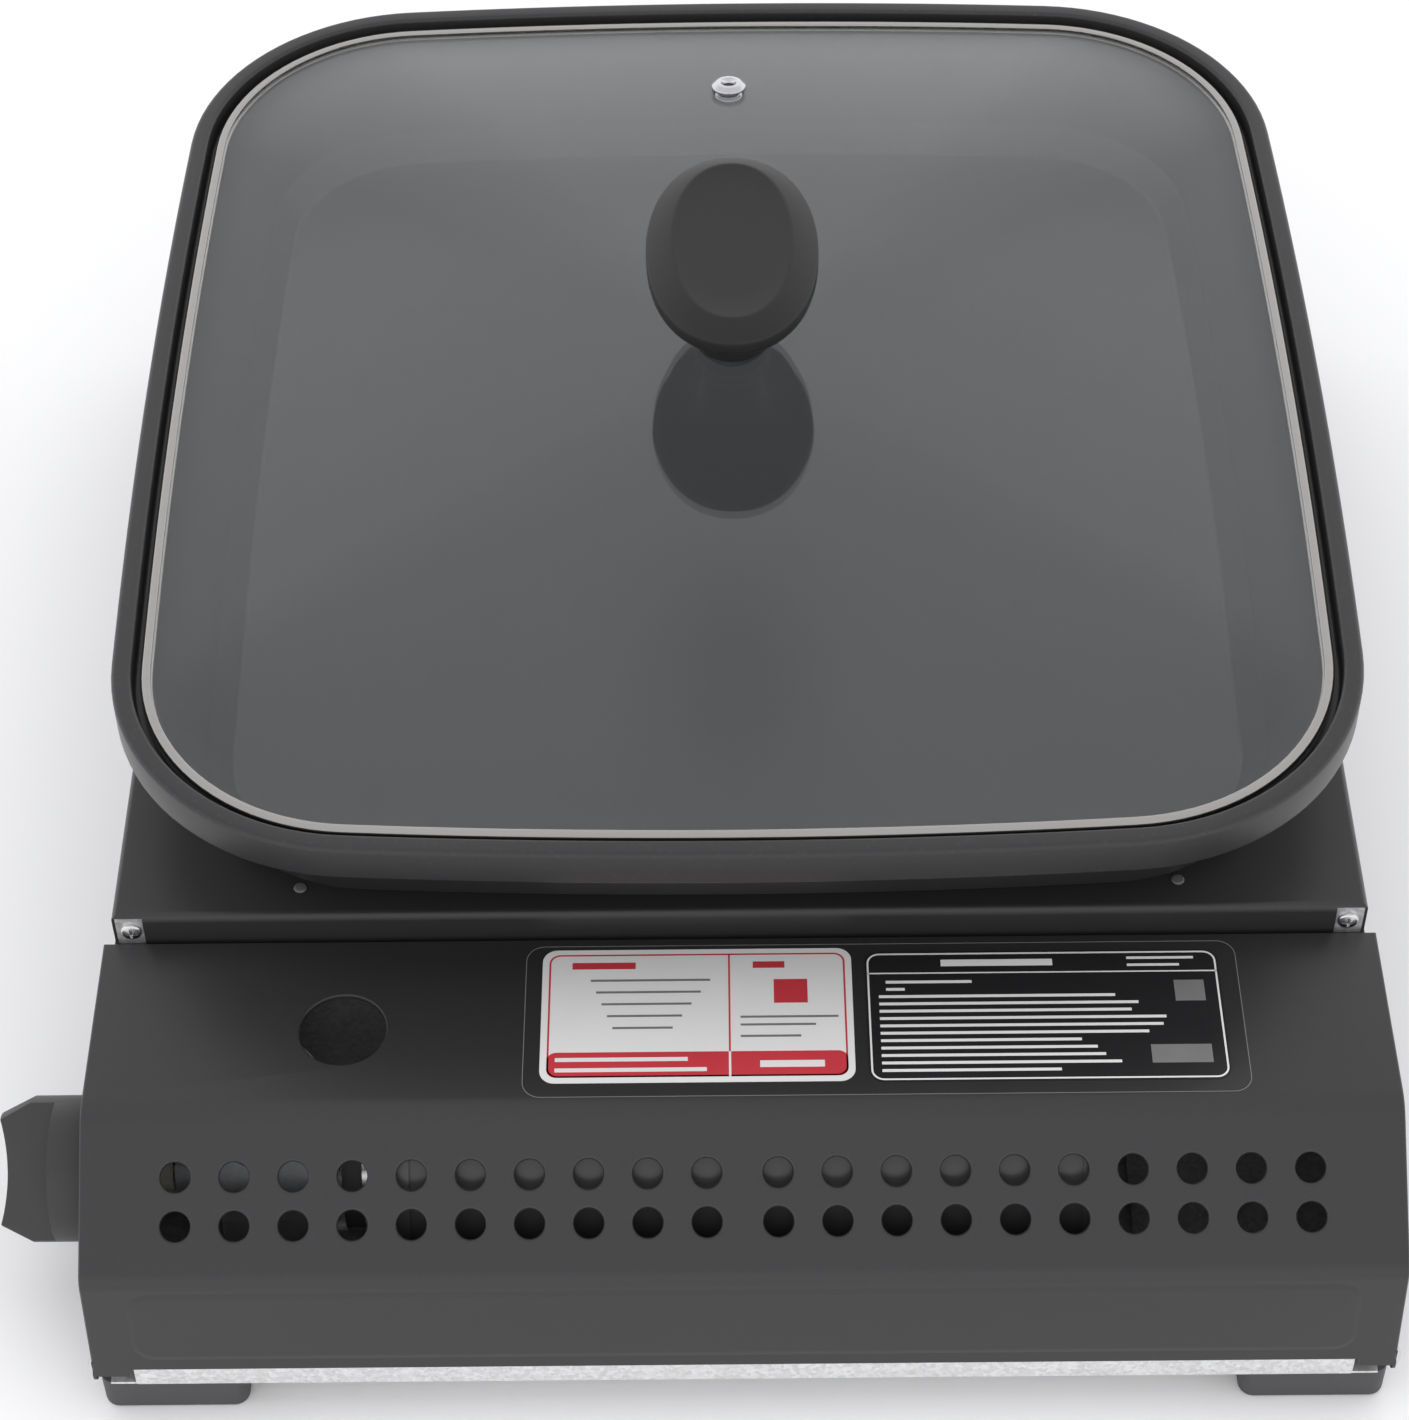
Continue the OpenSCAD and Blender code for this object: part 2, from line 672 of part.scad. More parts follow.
module diaphragm_screws() color("silver") place() {
    z = can_z + reg_r + 9;
    for (a = [45:90:315]) translate([pipe_x, -can_y, z]) rotate([0, 0, a])
        translate([13, 0, 0]) cylinder(h = 1.6, r = 2.2);
}

module valve_spindle() color("gold") place() {
    difference() {
        rod_x(knob_x1 + 8, reg_x0 + 9, -knob_y, knob_z, spindle_d / 2);
        block(knob_x1 + 7, knob_x0 - 2, -knob_y - 9, -knob_y - 2.6, knob_z - 9, knob_z + 9);
    }
}

module gas_knob() color("#1e1e20") place() {
    r = knob_d / 2;
    chamfer_l = 8.6;
    chamfer_r = 4.3;
    grip_l = 15;
    scoop = 2.2;
    tip_r = r - chamfer_r;
    face_r = (tip_r * tip_r + scoop * scoop) / (2 * scoop);
    difference() {
        union() {
            rod_x(knob_x1 + chamfer_l, knob_x0, -knob_y, knob_z, r);
            translate([knob_x1 + chamfer_l, -knob_y, knob_z]) rotate([0, -90, 0])
                cylinder(h = chamfer_l, r1 = r, r2 = r - chamfer_r);
        }
        translate([0, -knob_y, knob_z]) rotate([-grip_lean, 0, 0]) {
            for (s = [-1, 1]) translate([0, s * (grip_w / 2 + r), 0])
                block(knob_x1 - 1, knob_x1 + grip_l, -r, r, -r - 1, r + 1);
            rod_y(knob_x1 + scoop - face_r, -r, r, 0, face_r);
        }
        difference() {
            rod_x(knob_x1 + 8, knob_x0 + 1, -knob_y, knob_z, spindle_d / 2 + 0.02);
            block(knob_x1 + 7, knob_x0 - 2, -knob_y - 9, -knob_y - 2.62, knob_z - 9, knob_z + 9);
        }
    }
}

module knob_bezel() color("#3b3b3e") place() {
    difference() {
        rod_x(panel_x - bezel_t, panel_x, -knob_y, knob_z, knob_d / 2 + 1.5);
        rod_x(panel_x - 2, panel_x + 1, -knob_y, knob_z, spindle_d / 2 + 1);
    }
}

module spindle_clip() color("silver") place() {
    difference() {
        rod_x(panel_x + sheet + 0.3, panel_x + sheet + 1.3, -knob_y, knob_z, spindle_d / 2 + 3);
        rod_x(panel_x, panel_x + 4, -knob_y, knob_z, spindle_d / 2 + 0.02);
    }
}

// The cam's radius grows steadily over the knob's turn, so the plunger moves evenly with it
module igniter_cam() color("#d8d3c4") place() {
    steps = 11;
    rim = concat(
        [for (i = [0:steps]) let (a = i * knob_turn / steps) (cam_r + strike_k * a) * dir(-a)],
        [for (a = [-knob_turn - 40:-20:-340]) cam_r * dir(a)]);
    difference() {
        translate([cam_x, -knob_y, knob_z]) rotate([90, 0, 90]) linear_extrude(cam_w) polygon(rim);
        rod_x(cam_x - 1, cam_x + cam_w + 1, -knob_y, knob_z, spindle_d / 2 + 0.02);
    }
}

plunger_y = -knob_y + cam_r + 0.4;
piezo_y = plunger_y + 9;
piezo_l = 28;

module igniter_plunger() color("#c8c2b4") place() {
    rod_y(cam_x + cam_w / 2, plunger_y, piezo_y + 8, knob_z, 2.4);
}

module piezo_igniter() color("#e3dfd2") place() {
    difference() {
        block(cam_x + cam_w / 2 - 6, cam_x + cam_w / 2 + 6, piezo_y, piezo_y + piezo_l,
            knob_z - 6, knob_z + 6);
        rod_y(cam_x + cam_w / 2, piezo_y - 1, piezo_y + 8 + strike + 1, knob_z, 2.4 + clear);
    }
}

module igniter_bracket() color("silver") place() {
    x = cam_x + cam_w / 2;
    block(x - 6, x + 6, piezo_y + 4, piezo_y + 26, knob_z - 7, knob_z - 6);
    block(x - 6, x + 6, piezo_y + 25, piezo_y + 26, floor_z + 1, knob_z - 7);
    block(x - 6, x + 6, piezo_y + 16, piezo_y + 26, floor_z, floor_z + 1);
}

module igniter_lead() color("#8d3b34") place() {
    r = 1.5;
    x = cam_x + cam_w / 2;
    tip = electrode_p();
    pts = [[x, piezo_y + piezo_l, knob_z - 2], [x, -2.4, knob_z - 2], [x, -2.4, floor_z + 11],
        [x, 14, floor_z + 11], [tip.x - 14, 60, floor_z + 11], [tip.x, tip.y, 46],
        [tip.x, tip.y, 56]];
    for (i = [0:len(pts) - 2]) bar(pts[i], pts[i + 1], r);
    for (i = [1:len(pts) - 2]) translate(pts[i]) sphere(r = r + 0.15);
}

function electrode_p() = [0, burner_y] + (head_d / 2 + 6) * dir(225);

module electrode_ceramic() color("#efece4") place() {
    p = electrode_p();
    difference() {
        rod_z(p.x, p.y, 56, head_z + 3, 2.8);
        rod_z(p.x, p.y, 56 + 2, head_z + 4, 1.02);
    }
}

module electrode_pin() color("silver") place() {
    p = electrode_p();
    r = 1;
    rod_z(p.x, p.y, 58, cap_z + 3.5, r);
    translate([p.x, p.y, cap_z + 2]) rotate([0, 90, 45]) cylinder(h = 8, r = r * 0.9);
}

module electrode_bracket() color("silver") place() {
    p = electrode_p();
    clip_z = 62;
    cone = throat_r + (clip_z + 1.2 - cone_z0) / (cone_z1 - cone_z0) * (head_d / 2 - throat_r);
    reach = head_d / 2 + 6 - cone - 0.1;
    difference() {
        translate([p.x, p.y, clip_z]) rotate([0, 0, 45]) block(-5, reach, -5, 5, 0, 1.2);
        rod_z(p.x, p.y, 60, 66, 2.82);
    }
}

module gas_pipe() color("#c98f5a") place() {
    r = pipe_d / 2;
    y0 = -can_y + reg_r + 5;
    rod_y(pipe_x, y0, pipe_y, pipe_z, r);
    translate([pipe_x, pipe_y, pipe_z]) sphere(r = r);
    rod_x(pipe_x, 0, pipe_y, pipe_z, r);
    translate([0, pipe_y, pipe_z]) sphere(r = r);
    rod_y(0, pipe_y, injector_y, pipe_z, r);
}

module pipe_nuts() color("gold") place() {
    y0 = -can_y + reg_r + 5;
    for (p = [[pipe_x, y0], [0, injector_y - 7]]) difference() {
        translate([p.x, p.y, pipe_z]) rotate([-90, 0, 0]) cylinder(h = 7, r = 6.5, $fn = 6);
        rod_y(p.x, p.y - 1, p.y + 8, pipe_z, pipe_d / 2 + 0.02);
    }
}

module injector() color("gold") place() {
    difference() {
        union() {
            translate([0, injector_y, pipe_z]) rotate([-90, 0, 0]) cylinder(h = 6, r = 5.8, $fn = 6);
            rod_y(0, injector_y + 6, injector_y + injector_l, pipe_z, 3.6);
        }
        rod_y(0, injector_y - 1, injector_y + injector_l - 2, pipe_z, 1.6);
        rod_y(0, injector_y, injector_y + injector_l + 1, pipe_z, 0.5);
    }
}

module injector_bracket() color("silver") place() {
    difference() {
        union() {
            block(-9, 9, injector_y + 6, injector_y + 7.5, floor_z, pipe_z + 9);
            block(-9, 9, injector_y + 7.5, injector_y + 18, floor_z, floor_z + 1.5);
        }
        rod_y(0, injector_y + 5, injector_y + 9, pipe_z, 3.62);
    }
}

module mixing_tube() color("#9fa1a3") place() {
    end_y = burner_y - 25;
    translate([0, mouth_y, pipe_z]) rotate([-90, 0, 0]) difference() {
        union() {
            cylinder(h = 14, r1 = 14, r2 = 9);
            translate([0, 0, 14]) cylinder(h = end_y - mouth_y - 14, r = 9);
        }
        translate([0, 0, -e]) cylinder(h = 14 + 2 * e, r1 = 12.5, r2 = 7.5);
        translate([0, 0, 13]) cylinder(h = end_y - mouth_y, r = 7.5);
    }
}

module burner_body() color("#8f9193") place() {
    r = head_d / 2;
    translate([0, burner_y, 0]) difference() {
        rotate_extrude() polygon([[0, 30], [throat_r, 30], [throat_r, cone_z0], [r, cone_z1],
            [r, head_z], [r - 3, head_z], [r - 3, cone_z1 + 2], [throat_r - 3, cone_z0 + 3],
            [throat_r - 3, 33], [0, 33]]);
        rod_y(0, -40, -20, pipe_z, 9.02);
        for (i = [0:47]) rotate([0, 0, i * 7.5]) block(r - 5, r + 1, -0.8, 0.8, head_z - 4, head_z + 1);
    }
}

module burner_cap() color("#4a4a4c") place() {
    r = head_d / 2;
    translate([0, burner_y, head_z]) {
        difference() {
            cylinder(h = cap_t, r1 = r, r2 = r - 5);
            translate([0, 0, -e]) cylinder(h = 1.5, r = r - 8);
        }
        difference() {
            translate([0, 0, -4]) cylinder(h = 4 + e, r = r - 3.2);
            translate([0, 0, -5]) cylinder(h = 6.5, r = r - 8);
        }
    }
}

module burner_stand() color("silver") place() {
    for (s = [-1, 1]) {
        block(s * 20 - 6, s * 20 + 6, burner_y - 30, burner_y + 30, 29, 30);
        for (y = [-30, 29]) block(s * 20 - 6, s * 20 + 6, burner_y + y, burner_y + y + 1, floor_z + 1, 29);
        for (y = [-38, 29]) block(s * 20 - 6, s * 20 + 6, burner_y + y, burner_y + y + 9, floor_z, floor_z + 1);
    }
}

module heat_panel() color("#cfd0d2") place() {
    t = 0.9;
    back = 100;
    y1 = -can_y + 27 - sheet - 0.5;
    pulled(-28, -14, [[-can_y - 20, trough_z], [y1, trough_z], [y1, floor_z], [back, floor_z],
        [back, 70], [back - t, 70], [back - t, floor_z + t], [y1 - t, floor_z + t],
        [y1 - t, trough_z + t], [-can_y - 20, trough_z + t]]);
}

module drip_pan() color("#3c3c3f") place() {
    difference() {
        union() {
            well(-7, top_z, top_z + sheet);
            well(clear, well_z, top_z + e);
        }
        well(clear + sheet, well_z + sheet, top_z + sheet + 1);
        rod_z(0, burner_y, well_z - 1, well_z + 2, well_hole_r);
    }
}

module pan_supports() color("#98999b") place() {
    for (a = [45:90:315]) translate([0, burner_y, well_z + sheet]) rotate([0, 0, a]) {
        block(88, 128, -1, 1, 0, post_h);
        block(100, 116, 1, 12, 0, 1.2);
    }
}

module pan() color("#3f3f41") place() {
    wall_z = seat_z - pan_t;
    skin = 0.02;
    difference() {
        union() {
            slab(0, rim_z - skirt_h, rim_z);
            hull() {
                slab(wall_o - pan_t, wall_z, wall_z + skin);
                slab(wall_o + pan_slope - pan_t + 3, pan_base_z, pan_base_z + skin);
            }
        }
        difference() {
            slab(pan_t, rim_z - skirt_h - 1, wall_z);
            hull() {
                slab(wall_o - pan_t, wall_z, wall_z + skin);
                slab(wall_o + pan_slope - pan_t + 3, pan_base_z, pan_base_z + skin);
            }
        }
        slab(rim_w, seat_z, rim_z + 1);
        hull() {
            slab(wall_o, seat_z, seat_z + skin);
            slab(wall_o + pan_slope, pan_floor_z + 8, pan_floor_z + 8 + skin);
            slab(wall_o + pan_slope + 6, pan_floor_z, pan_floor_z + skin);
        }
    }
}

// Stacked outlines of the lid, shrinking towards the middle of the dome
module dome(o, z0, rise) {
    hull() for (s = dome_s) translate([0, pan_y, z0 + rise * dome_f(s)])
        linear_extrude(e) polygon([for (p = outline(o)) s * p]);
}

module at_vent() {
    translate([0, pan_y + vent_y, vent_z]) rotate([-vent_tilt, 0, 0]) children();
}

module lid_glass() color("#9fb0b4") place() {
    difference() {
        union() {
            slab(glass_o, glass_z0, glass_z1);
            dome(dome_o, glass_z1 - e, dome_rise);
        }
        dome(glass_o + 4, glass_z0 - e, dome_rise + glass_z1 - glass_z0 - glass_t);
        rod_z(0, pan_y, glass_z0, glass_top + 1, 3.2);
        at_vent() translate([0, 0, -8]) cylinder(h = 12, r = vent_flange_d / 2 - 2);
    }
}

module lid_band() color("#bdb9b2") place() {
    z1 = band_z + band_h;
    difference() {
        slab(lid_o, band_z, z1);
        slab(glass_o, glass_z0, glass_z1);
        slab(lid_o + band_w, band_z - 1, z1 + 1);
    }
}

module steam_vent() color("silver") place() {
    at_vent() difference() {
        union() {
            translate([0, 0, 0.15]) cylinder(h = 1.5, d = vent_flange_d);
            translate([0, 0, -4.6]) cylinder(h = 5, r = vent_flange_d / 2 - 2.1);
            translate([0, 0, -5.8]) cylinder(h = 1.2, r = vent_flange_d / 2 - 1);
        }
        translate([0, 0, -7]) cylinder(h = 10, d = vent_bore_d);
    }
}

module lid_knob_seal() color("#1a1a1b") place() {
    difference() {
        rod_z(0, pan_y, glass_top + e, glass_top + seal_t, neck_foot_r - 0.4);
        rod_z(0, pan_y, glass_top - 1, glass_top + 3, 2.6);
    }
}

cap_h = 15;

module lid_knob_neck() color("#1e1e20") place() {
    difference() {
        union() {
            rod_z(0, pan_y, glass_top + seal_t, glass_top + seal_t + 4, neck_foot_r);
            rod_z(0, pan_y, glass_top + seal_t + 4, knob_top_z - cap_h, neck_r);
        }
        rod_z(0, pan_y, glass_top, glass_top + 16, 2.52);
    }
}

module lid_knob_cap() color("#232325") place() {
    r = lid_knob_w / 2;
    reach = lid_knob_l / 2 - r;
    z0 = knob_top_z - cap_h;
    hull() {
        for (s = [-1, 1]) rod_z(0, pan_y + s * reach, knob_top_z - 7, knob_top_z, r);
        rod_z(0, pan_y, z0, z0 + 1, 12);
    }
}

module lid_knob_washer() color("silver") place() {
    z = glass_top - glass_t;
    difference() {
        rod_z(0, pan_y, z - 1.2, z - 0.1, 8);
        rod_z(0, pan_y, z - 3, z + 1, 2.6);
    }
}

module lid_knob_screw() color("silver") place() {
    z = glass_top - glass_t - 1.2;
    translate([0, pan_y, z]) rotate([180, 0, 0]) screw(4.6, 2.6, 2.5, 18);
}

base_tray();
feet();
foot_screws();
body_shell();
heat_shield();
corner_screws();
shell_rivets();
side_screws();
cartridge_cover();
hinge_rivets();
label_white();
label_black();
cartridge_can();
cartridge_collar();
cartridge_stem();
cartridge_cradle();
magnet_holder();
magnet_ring();
regulator_body();
regulator_screws();
diaphragm_cap();
diaphragm_screws();
valve_spindle();
gas_knob();
knob_bezel();
spindle_clip();
igniter_cam();
piezo_igniter();
igniter_bracket();
igniter_plunger();
igniter_lead();
electrode_bracket();
electrode_ceramic();
electrode_pin();
gas_pipe();
pipe_nuts();
injector();
injector_bracket();
mixing_tube();
burner_body();
burner_cap();
burner_stand();
heat_panel();
drip_pan();
pan_supports();
pan();
lid_glass();
lid_band();
steam_vent();
lid_knob_seal();
lid_knob_neck();
lid_knob_cap();
lid_knob_screw();
lid_knob_washer();
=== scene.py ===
"""Portable gas hot plate with a coated pan and a domed glass lid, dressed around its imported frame.

Shapes are drawn in millimetres from the body's centre line and the top plate's front fold, and
each finished mesh is then carried to its place in the frame.
"""

import json
import logging
import math
from dataclasses import dataclass, field
from enum import Enum
from typing import Callable, Iterable, Sequence

import bmesh
import bpy
from bmesh.types import BMEdge, BMesh, BMVert
from mathutils import Matrix, Vector


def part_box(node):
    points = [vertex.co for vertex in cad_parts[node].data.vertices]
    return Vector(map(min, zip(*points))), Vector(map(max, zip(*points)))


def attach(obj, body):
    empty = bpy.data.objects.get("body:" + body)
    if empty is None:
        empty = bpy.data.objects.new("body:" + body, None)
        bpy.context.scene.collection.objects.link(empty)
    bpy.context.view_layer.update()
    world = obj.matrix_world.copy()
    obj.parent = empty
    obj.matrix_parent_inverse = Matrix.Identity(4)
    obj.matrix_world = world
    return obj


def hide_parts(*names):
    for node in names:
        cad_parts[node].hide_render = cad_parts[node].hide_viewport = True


LOG = logging.getLogger("hot_plate")
MM = 0.001
SHEET = 0.8
FINE = 64
# Ends the name of each material made here, which keeps it apart from the frame's plain ones.
OWN = "_finish"
Point = tuple[float, float]

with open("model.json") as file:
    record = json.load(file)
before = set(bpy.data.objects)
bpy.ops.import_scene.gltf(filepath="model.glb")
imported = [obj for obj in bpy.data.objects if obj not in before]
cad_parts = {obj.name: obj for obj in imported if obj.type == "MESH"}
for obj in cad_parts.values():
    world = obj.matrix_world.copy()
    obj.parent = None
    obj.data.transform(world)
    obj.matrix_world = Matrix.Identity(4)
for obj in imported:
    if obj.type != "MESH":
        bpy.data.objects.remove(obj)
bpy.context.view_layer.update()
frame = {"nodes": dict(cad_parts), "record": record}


class Pattern(Enum):
    """How a finish varies over a surface."""

    CLOUD = "soft patches"
    SPECKLE = "fine flecks"
    BRUSHED = "drawn along x"
    SPANGLE = "zinc crystals"


@dataclass(frozen=True)
class Finish:
    """A surface finish, from which its material is made.

    Attributes:
        name: the finish in a maker's words.
        tone: main colour.
        accent: colour it varies towards.
        pattern: how it varies.
        scale: size of the pattern, in repeats per metre.
        rough: roughness, lowest and highest.
        metal: how metallic it is.
        relief: height of its bump, 0 to 1.
        coat: weight of a clear coat.
        shine: specular level, 0.5 for ordinary plastics and paints.
    """

    name: str
    tone: tuple[float, float, float]
    accent: tuple[float, float, float]
    pattern: Pattern = Pattern.CLOUD
    scale: float = 60.0
    rough: tuple[float, float] = (0.35, 0.45)
    metal: float = 0.0
    relief: float = 0.05
    coat: float = 0.0
    shine: float = 0.5

    def material(self) -> bpy.types.Material:
        """Returns the finish's material, made on first use."""
        found = bpy.data.materials.get(self.name + OWN)
        return found if found else self._make()

    def _make(self) -> bpy.types.Material:
        """Builds the node tree.

        Returns:
            The new material.
        """
        mat = bpy.data.materials.new(self.name + OWN)
        mat.use_nodes = True
        tree = mat.node_tree
        shader = tree.nodes["Principled BSDF"]
        shader.inputs["Metallic"].default_value = self.metal
        shader.inputs["Coat Weight"].default_value = self.coat
        shader.inputs["Coat Roughness"].default_value = 0.08
        shader.inputs["Specular IOR Level"].default_value = self.shine
        place = tree.nodes.new("ShaderNodeTexCoord")
        stretch = tree.nodes.new("ShaderNodeMapping")
        if self.pattern is Pattern.BRUSHED:
            stretch.inputs["Scale"].default_value = (0.02, 1.0, 1.0)
        tree.links.new(place.outputs["Object"], stretch.inputs["Vector"])
        value = self._pattern(tree, stretch.outputs["Vector"])
        tint = tree.nodes.new("ShaderNodeMix")
        tint.data_type = "RGBA"
        tint.inputs["A"].default_value = (*self.tone, 1.0)
        tint.inputs["B"].default_value = (*self.accent, 1.0)
        tree.links.new(value, tint.inputs["Factor"])
        tree.links.new(tint.outputs["Result"], shader.inputs["Base Color"])
        sheen = tree.nodes.new("ShaderNodeMapRange")
        sheen.inputs["To Min"].default_value = self.rough[0]
        sheen.inputs["To Max"].default_value = self.rough[1]
        tree.links.new(value, sheen.inputs["Value"])
        tree.links.new(sheen.outputs["Result"], shader.inputs["Roughness"])
        bump = tree.nodes.new("ShaderNodeBump")
        bump.inputs["Strength"].default_value = self.relief
        bump.inputs["Distance"].default_value = 0.1 * MM
        tree.links.new(value, bump.inputs["Height"])
        tree.links.new(bump.outputs["Normal"], shader.inputs["Normal"])
        return mat

    def _pattern(self, tree: bpy.types.NodeTree,
                 place: bpy.types.NodeSocket) -> bpy.types.NodeSocket:
        """Adds the pattern's texture.

        Args:
            tree: the material's nodes.
            place: where on the piece the pattern is read.

        Returns:
            The socket that gives the pattern's value, 0 to 1.
        """
        if self.pattern in (Pattern.SPECKLE, Pattern.SPANGLE):
            cells = tree.nodes.new("ShaderNodeTexVoronoi")
            cells.inputs["Scale"].default_value = self.scale
            tree.links.new(place, cells.inputs["Vector"])
            if self.pattern is Pattern.SPANGLE:
                grey = tree.nodes.new("ShaderNodeSeparateColor")
                tree.links.new(cells.outputs["Color"], grey.inputs["Color"])
                return grey.outputs["Red"]
            flecks = tree.nodes.new("ShaderNodeMapRange")
            flecks.inputs["From Min"].default_value = 0.1
            flecks.inputs["From Max"].default_value = 0.32
            flecks.inputs["To Min"].default_value = 1.0
            flecks.inputs["To Max"].default_value = 0.0
            tree.links.new(cells.outputs["Distance"], flecks.inputs["Value"])
            return flecks.outputs["Result"]
        noise = tree.nodes.new("ShaderNodeTexNoise")
        noise.inputs["Scale"].default_value = self.scale
        noise.inputs["Detail"].default_value = 6.0
        tree.links.new(place, noise.inputs["Vector"])
        return noise.outputs["Fac"]


@dataclass(frozen=True)
class ClearGlass:
    """Tempered glass: it refracts what is seen through it and lets lamp light pass.

    Attributes:
        name: the finish in a maker's words.
        tint: colour of the light that passes.
    """

    name: str = "tempered_glass"
    tint: tuple[float, float, float] = (0.93, 0.95, 0.95)

    def material(self) -> bpy.types.Material:
        """Returns the glass material, made on first use."""
        found = bpy.data.materials.get(self.name + OWN)
        if found:
            return found
        mat = bpy.data.materials.new(self.name + OWN)
        mat.use_nodes = True
        tree = mat.node_tree
        shader = tree.nodes["Principled BSDF"]
        shader.inputs["Base Color"].default_value = (*self.tint, 1.0)
        shader.inputs["Transmission Weight"].default_value = 1.0
        shader.inputs["IOR"].default_value = 1.5
        place = tree.nodes.new("ShaderNodeTexCoord")
        haze = tree.nodes.new("ShaderNodeTexNoise")
        haze.inputs["Scale"].default_value = 30.0
        faint = tree.nodes.new("ShaderNodeMapRange")
        faint.inputs["To Min"].default_value = 0.0
        faint.inputs["To Max"].default_value = 0.035
        tree.links.new(place.outputs["Object"], haze.inputs["Vector"])
        tree.links.new(haze.outputs["Fac"], faint.inputs["Value"])
        tree.links.new(faint.outputs["Result"], shader.inputs["Roughness"])
        clear = tree.nodes.new("ShaderNodeBsdfTransparent")
        clear.inputs["Color"].default_value = (*self.tint, 1.0)
        rays = tree.nodes.new("ShaderNodeLightPath")
        mix = tree.nodes.new("ShaderNodeMixShader")
        out = tree.nodes["Material Output"]
        tree.links.new(rays.outputs["Is Shadow Ray"], mix.inputs["Fac"])
        tree.links.new(shader.outputs["BSDF"], mix.inputs[1])
        tree.links.new(clear.outputs["BSDF"], mix.inputs[2])
        tree.links.new(mix.outputs["Shader"], out.inputs["Surface"])
        return mat


BLACK_PAINT = Finish("black_paint", (0.021, 0.021, 0.022), (0.027, 0.027, 0.028), scale=900.0,
                     rough=(0.34, 0.42), relief=0.08)
ZINC_COAT = Finish("zinc_coat", (0.62, 0.62, 0.62), (0.82, 0.82, 0.82), Pattern.SPANGLE, 900.0,
                   (0.34, 0.50), 0.6, 0.08)
ZINC_PLATE = Finish("zinc_plate", (0.72, 0.72, 0.73), (0.62, 0.62, 0.64), scale=300.0,
                    rough=(0.18, 0.30), metal=1.0)
DULL_RIVET = Finish("dull_rivet", (0.085, 0.085, 0.087), (0.12, 0.12, 0.122), scale=700.0,
                    rough=(0.4, 0.5))
STAINLESS = Finish("stainless", (0.46, 0.447, 0.43), (0.42, 0.408, 0.39), Pattern.BRUSHED, 900.0,
                   (0.22, 0.28), 1.0, 0.008)
PAN_COAT = Finish("pan_coat", (0.021, 0.021, 0.022), (0.028, 0.028, 0.029), Pattern.SPECKLE, 420.0,
                  (0.37, 0.39), relief=0.003)
RUBBER = Finish("rubber", (0.050, 0.047, 0.050), (0.065, 0.062, 0.064), scale=500.0,
                rough=(0.55, 0.70), relief=0.1)
KNOB_PLASTIC = Finish("knob_plastic", (0.026, 0.025, 0.026), (0.036, 0.035, 0.036), scale=1200.0,
                      rough=(0.42, 0.55), relief=0.12)
BEZEL_PLASTIC = Finish("bezel_plastic", (0.05, 0.05, 0.055), (0.04, 0.04, 0.045), scale=800.0)
HANDLE_PLASTIC = Finish("handle_plastic", (0.011, 0.011, 0.0115), (0.015, 0.015, 0.0155),
                        scale=1500.0, rough=(0.40, 0.50), relief=0.06, shine=0.32)
SILICONE = Finish("silicone", (0.02, 0.02, 0.02), (0.03, 0.03, 0.03), scale=400.0, rough=(0.5, 0.6))
# The can's paint is darkened to a near-black grey as painted shade, standing for the shade inside
# the closed cartridge bay.
CAN_PAINT_WITH_PAINTED_SHADE = Finish("can_paint", (0.045, 0.045, 0.046), (0.058, 0.058, 0.060), scale=40.0,
                   rough=(0.22, 0.3))
TINPLATE = Finish("tinplate", (0.66, 0.66, 0.64), (0.74, 0.74, 0.72), scale=200.0,
                  rough=(0.2, 0.32), metal=1.0)
BRASS = Finish("brass", (0.72, 0.52, 0.22), (0.62, 0.43, 0.17), scale=200.0, rough=(0.25, 0.38),
               metal=1.0)
COPPER = Finish("copper", (0.62, 0.33, 0.18), (0.50, 0.25, 0.13), scale=90.0, rough=(0.25, 0.42),
                metal=1.0)
MAGNET = Finish("magnet", (0.06, 0.06, 0.065), (0.09, 0.09, 0.095), scale=600.0, rough=(0.5, 0.7))
CAST_ALLOY = Finish("cast_alloy", (0.50, 0.51, 0.52), (0.38, 0.39, 0.40), scale=700.0,
                    rough=(0.45, 0.62), metal=0.9, relief=0.35)
PALE_PLASTIC = Finish("pale_plastic", (0.62, 0.58, 0.48), (0.55, 0.51, 0.42), scale=300.0)
LEAD_SLEEVE = Finish("lead_sleeve", (0.30, 0.05, 0.04), (0.24, 0.04, 0.03), scale=300.0)
CERAMIC = Finish("ceramic", (0.82, 0.80, 0.75), (0.74, 0.72, 0.66), scale=400.0, rough=(0.5, 0.65))
BURNER_IRON = Finish("burner_iron", (0.055, 0.055, 0.06), (0.11, 0.10, 0.095), scale=500.0,
                     rough=(0.55, 0.75), metal=0.4, relief=0.4)
HEAT_ALLOY = Finish("heat_alloy", (0.66, 0.67, 0.68), (0.57, 0.58, 0.60), Pattern.BRUSHED, 700.0,
                    (0.25, 0.4), 1.0)
ENAMEL = Finish("enamel", (0.030, 0.030, 0.033), (0.05, 0.05, 0.054), Pattern.SPECKLE, 700.0,
                (0.22, 0.32), coat=0.3)
BRIGHT_WIRE = Finish("bright_wire", (0.66, 0.66, 0.68), (0.56, 0.56, 0.59), scale=260.0,
                     rough=(0.14, 0.24), metal=1.0)
LABEL_PALE = Finish("label_pale", (0.74, 0.74, 0.73), (0.78, 0.78, 0.77), scale=80.0,
                    rough=(0.3, 0.36), relief=0.0)
LABEL_DARK = Finish("label_dark", (0.012, 0.012, 0.013), (0.016, 0.016, 0.017), scale=80.0,
                    rough=(0.26, 0.32), relief=0.0)
LABEL_RED = Finish("label_red", (0.52, 0.035, 0.05), (0.57, 0.045, 0.06), scale=80.0,
                   rough=(0.3, 0.36), relief=0.0)
LABEL_GREY = Finish("label_grey", (0.16, 0.16, 0.16), (0.20, 0.20, 0.20), scale=80.0,
                    rough=(0.3, 0.36), relief=0.0)
